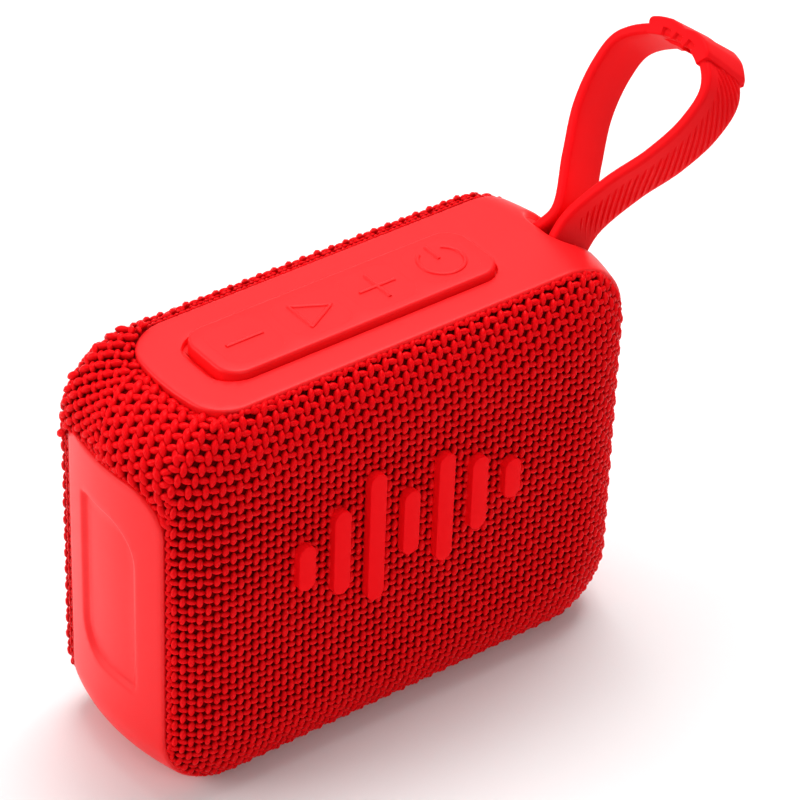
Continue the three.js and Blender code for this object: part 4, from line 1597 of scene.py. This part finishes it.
    def band(self) -> None:
        """Builds the band as one closed loop with rounded edges."""
        half, across = self.thickness / 2, self.width / 2
        section = RoundRect((-half, -across), (half, across), (self.edge_radius,) * 4).ring(step=1.6, turns=5)
        ways = np.arange(self.spans) / self.spans * self.way[-1]
        band = self.sweep("strap_loop", ways, np.repeat(section[None], self.spans, axis=0), True)
        dress(band, self.finishes.strap, "strap")
        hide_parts("strap_band")

    def ribs(self) -> None:
        """Raises slanting ribs on the outer face of the front leg."""
        first, last, spacing = 0.075, 0.45, 1.62
        slant, half, middle = 1.17, 3.35, -0.9
        total = self.way[-1]
        points, edges = [], []
        for start in np.arange(first * total - 4.0, last * total, spacing):
            across = np.linspace(-half, half, 12)
            way = start + across * slant
            dive = self.rib_radius * (np.abs(across) / half) ** 8
            dive += self.rib_sunk * (1.0 - smooth(way, first * total + 1.0, first * total + 6.0))
            inside = (way > first * total + 0.6) & (way < last * total + 1.0)
            across, way, dive = across[inside], way[inside], dive[inside]
            if len(across) < 3:
                continue
            uv, out = self.at(way / total)
            uv = uv + out * (self.thickness / 2 - dive)[:, None]
            base = sum(len(p) for p in points)
            points.append(self.place(uv[:, 0], uv[:, 1], across + middle))
            edges += [(base + k, base + k + 1) for k in range(len(across) - 1)]
        seat = line_object("strap_rib_lines", np.concatenate(points), edges)
        ribs = self.ridges.grow(seat, "strap_ribs", {
            "Radius": self.rib_radius * MM, "Sides": 8, "Material": self.finishes.strap})
        dress(ribs, self.finishes.strap, "strap")

    def clasp(self) -> None:
        """Builds the clasp that caps the top of the loop, with its scalloped edge and inner tongue."""
        start, length, count = 0.4 * self.way[-1] + 2.9, self.clasp_length, 58
        share = np.linspace(0.0, 1.0, count)
        crown = self.thickness / 2 + np.interp(share, [0, 0.05, 0.2, 0.33, 0.52, 0.72, 0.9, 0.98, 1.0],
                                               [0.4, 0.8, 1.2, 1.15, 0.5, 1.1, 1.15, 1.05, 0.8])
        half = self.width / 2 + 0.45
        scallop = sum(np.exp(-(((share - centre) * length) / 0.8) ** 4) for centre in (0.3, 0.52, 0.72))
        blank = RoundRect((-1.12, -half), (1.6, half), (0.3, 0.55, 0.55, 0.3)).ring(step=0.7, turns=4)
        sections, ways = [], []
        for t, top, bite in zip(share, crown, scallop):
            rise = (top - 1.6) * smooth(blank[:, 0], -0.9, 1.0)
            ring = blank + np.stack([rise, np.zeros(len(blank))], axis=1)
            low_edge = smooth(-ring[:, 0], -0.2, 0.6) * smooth(ring[:, 1], half - 2.0, half - 0.2)
            ring = ring + np.stack([1.2 * bite * low_edge, -1.3 * bite * low_edge], axis=1)
            slant = 1.0 * (1.0 - t) ** 2 * ring[:, 1] / half
            sections.append(ring)
            ways.append(start + length * t + slant)
        clasp = self.sweep("strap_clasp_cap", np.array(ways), np.array(sections), False)
        dress(sharpen(clasp), self.finishes.strap, "strap")
        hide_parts("strap_clasp")
        share = np.linspace(0.0, 1.0, 16)
        depth = np.interp(share, [0.0, 0.5, 1.0], [1.9, 1.7, 0.8])
        blank = RoundRect((-1.0, -self.width / 2), (0.0, 2.6), (0.25,) * 4).ring(step=1.2, turns=4)
        tongue = np.stack([blank * np.array([d - 0.5, 1.0]) - np.array([0.5, 0.0]) for d in depth])
        point = 1.6 * (1.0 - share)[:, None] * np.abs(tongue[0, :, 1] + 1.2)[None] / 3.0
        ways = start + 6.2 + 8.4 * share[:, None] + point
        plate = self.sweep("strap_clasp_tongue", ways, tongue, False)
        dress(sharpen(plate), self.finishes.strap, "strap")


# ------------------------------------------------------------------ carried-over parts
class InnerParts:
    """The parts that stay as the frame has them, each with its finish."""

    def __init__(self, finishes: Finishes) -> None:
        """Sorts the parts by finish."""
        self.sorted = {
            finishes.shell: ("front_shell", "rear_shell", "strap_cup"),
            finishes.board: ("main_board", "side_board"),
            finishes.black: ("driver_basket", "radiator_frame", "battery_cradle",
                             *(f"switch_{name}" for name in KEY_NAMES)),
            finishes.steel: ("port_socket", "driver_magnet", "radiator_plate", "strap_pin",
                             *(f"cover_screw_{n}" for n in range(1, 5))),
            finishes.rubber: ("driver_surround", "radiator_surround"),
            finishes.foam: ("driver_gasket",),
            finishes.paper: ("driver_cone", "dust_cap", "voice_coil"),
            finishes.wrap: ("battery_cell",),
        }

    def build(self) -> None:
        """Assigns the finishes."""
        for material, nodes in self.sorted.items():
            for name in nodes:
                node = frame["nodes"][name]
                node.data.materials.clear()
                node.data.materials.append(material)
                LOG.info("%s keeps its shape, finish %s", name, material.name)


# ------------------------------------------------------------------ stage
@dataclass
class Stage:
    """The camera, the soft lights and the pale floor.

    Each light has its place and its side in metres and its power in watts.
    """

    azimuth: float = math.radians(-37.566)
    elevation: float = math.radians(36.518)
    roll: float = math.radians(1.712)
    distance: float = 633.66
    target: tuple[float, float, float] = (1.267, 0.0, 50.10)
    lens: float = 169.7
    shift: tuple[float, float] = (0.0558, 0.0258)
    front_glow: float = 0.12
    rear_glow: float = 0.75
    floor_half: float = 6000.0
    lights: tuple[tuple[str, tuple[float, float, float], float, float], ...] = (
        ("key_light", (0.3, 0.25, 1.15), 0.8, 13.0),
        ("left_light", (-1.1, 0.6, 0.5), 0.8, 7.2),
        ("fill_light", (-0.2, -1.25, 0.8), 0.9, 4.6),
    )

    def build(self) -> None:
        """Builds the camera, the lights and the floor."""
        self.camera()
        for light in self.lights:
            self.light(*light)
        self.floor()
        self.world()
        bpy.context.scene.view_settings.view_transform = "Standard"

    def world(self) -> None:
        """Fills the surroundings with white light, brighter behind the speaker than in front."""
        world = bpy.data.worlds.new("studio")
        world.use_nodes = True
        world.node_tree.nodes.clear()
        graph = Graph(world.node_tree)
        way = graph.add("ShaderNodeTexCoord").outputs["Generated"]
        axes = graph.add("ShaderNodeSeparateXYZ", Vector=way)
        power = graph.add("ShaderNodeMapRange", Value=axes.outputs["Y"], From_Min=-1.0, From_Max=1.0,
                          To_Min=self.front_glow, To_Max=self.rear_glow)
        glow = graph.add("ShaderNodeBackground", Color=(1.0, 1.0, 1.0, 1.0), Strength=power.outputs[0])
        graph.add("ShaderNodeOutputWorld", Surface=glow.outputs[0])
        bpy.context.scene.world = world

    def camera(self) -> None:
        """Places the camera."""
        back = Vector((math.sin(self.azimuth) * math.cos(self.elevation),
                       -math.cos(self.azimuth) * math.cos(self.elevation), math.sin(self.elevation)))
        right = Vector((math.cos(self.azimuth), math.sin(self.azimuth), 0.0))
        up = back.cross(right)
        rolled_right = right * math.cos(self.roll) + up * math.sin(self.roll)
        rolled_up = up * math.cos(self.roll) - right * math.sin(self.roll)
        data = bpy.data.cameras.new("camera")
        data.lens = self.lens
        data.sensor_width = 36.0
        data.shift_x, data.shift_y = self.shift
        camera = bpy.data.objects.new("camera", data)
        bpy.context.scene.collection.objects.link(camera)
        turn = Matrix((rolled_right, rolled_up, back)).transposed().to_4x4()
        turn.translation = (Vector(self.target) + back * self.distance) * MM
        camera.matrix_world = turn
        bpy.context.scene.camera = camera

    def light(self, name: str, place: tuple[float, float, float], size: float, power: float) -> None:
        """Adds a square soft light aimed at the speaker.

        Args:
            name: the light's name.
            place: where it hangs, in metres.
            size: its side, in metres.
            power: its power in watts.
        """
        data = bpy.data.lights.new(name, "AREA")
        data.size = size
        data.energy = power
        lamp = bpy.data.objects.new(name, data)
        bpy.context.scene.collection.objects.link(lamp)
        lamp.location = place
        aim = Vector((0.0, 0.0, 0.04)) - Vector(place)
        lamp.rotation_euler = aim.to_track_quat("-Z", "Y").to_euler()

    def floor(self) -> None:
        """Lays the pale floor."""
        corners = self.floor_half * np.array([(-1, -1, 0), (1, -1, 0), (1, 1, 0), (-1, 1, 0)], dtype=float)
        floor = mesh_object("floor", corners, [(0, 1, 2, 3)], flat=True)
        finish = Finish("pale_floor", (0.9, 0.9, 0.9), (0.89, 0.89, 0.89), 0.8, reflect=0.2)
        floor.data.materials.append(finish.material())


def main() -> None:
    """Builds the speaker and its stage."""
    logging.basicConfig(level=logging.INFO, format="%(name)s: %(message)s")
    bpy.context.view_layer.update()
    Stage().build()
    form = BodyForm()
    finishes = Finishes()
    ridges = ridge_tree()
    InnerParts(finishes).build()
    bands = Bands(form, finishes)
    bands.build()
    Flap(bands, finishes).build()
    Wrap(form, finishes).build()
    KeyPad(finishes, ridges).build()
    Emblem(finishes).build()
    Strap(form, finishes, ridges).build()


if __name__ == "__main__":
    main()
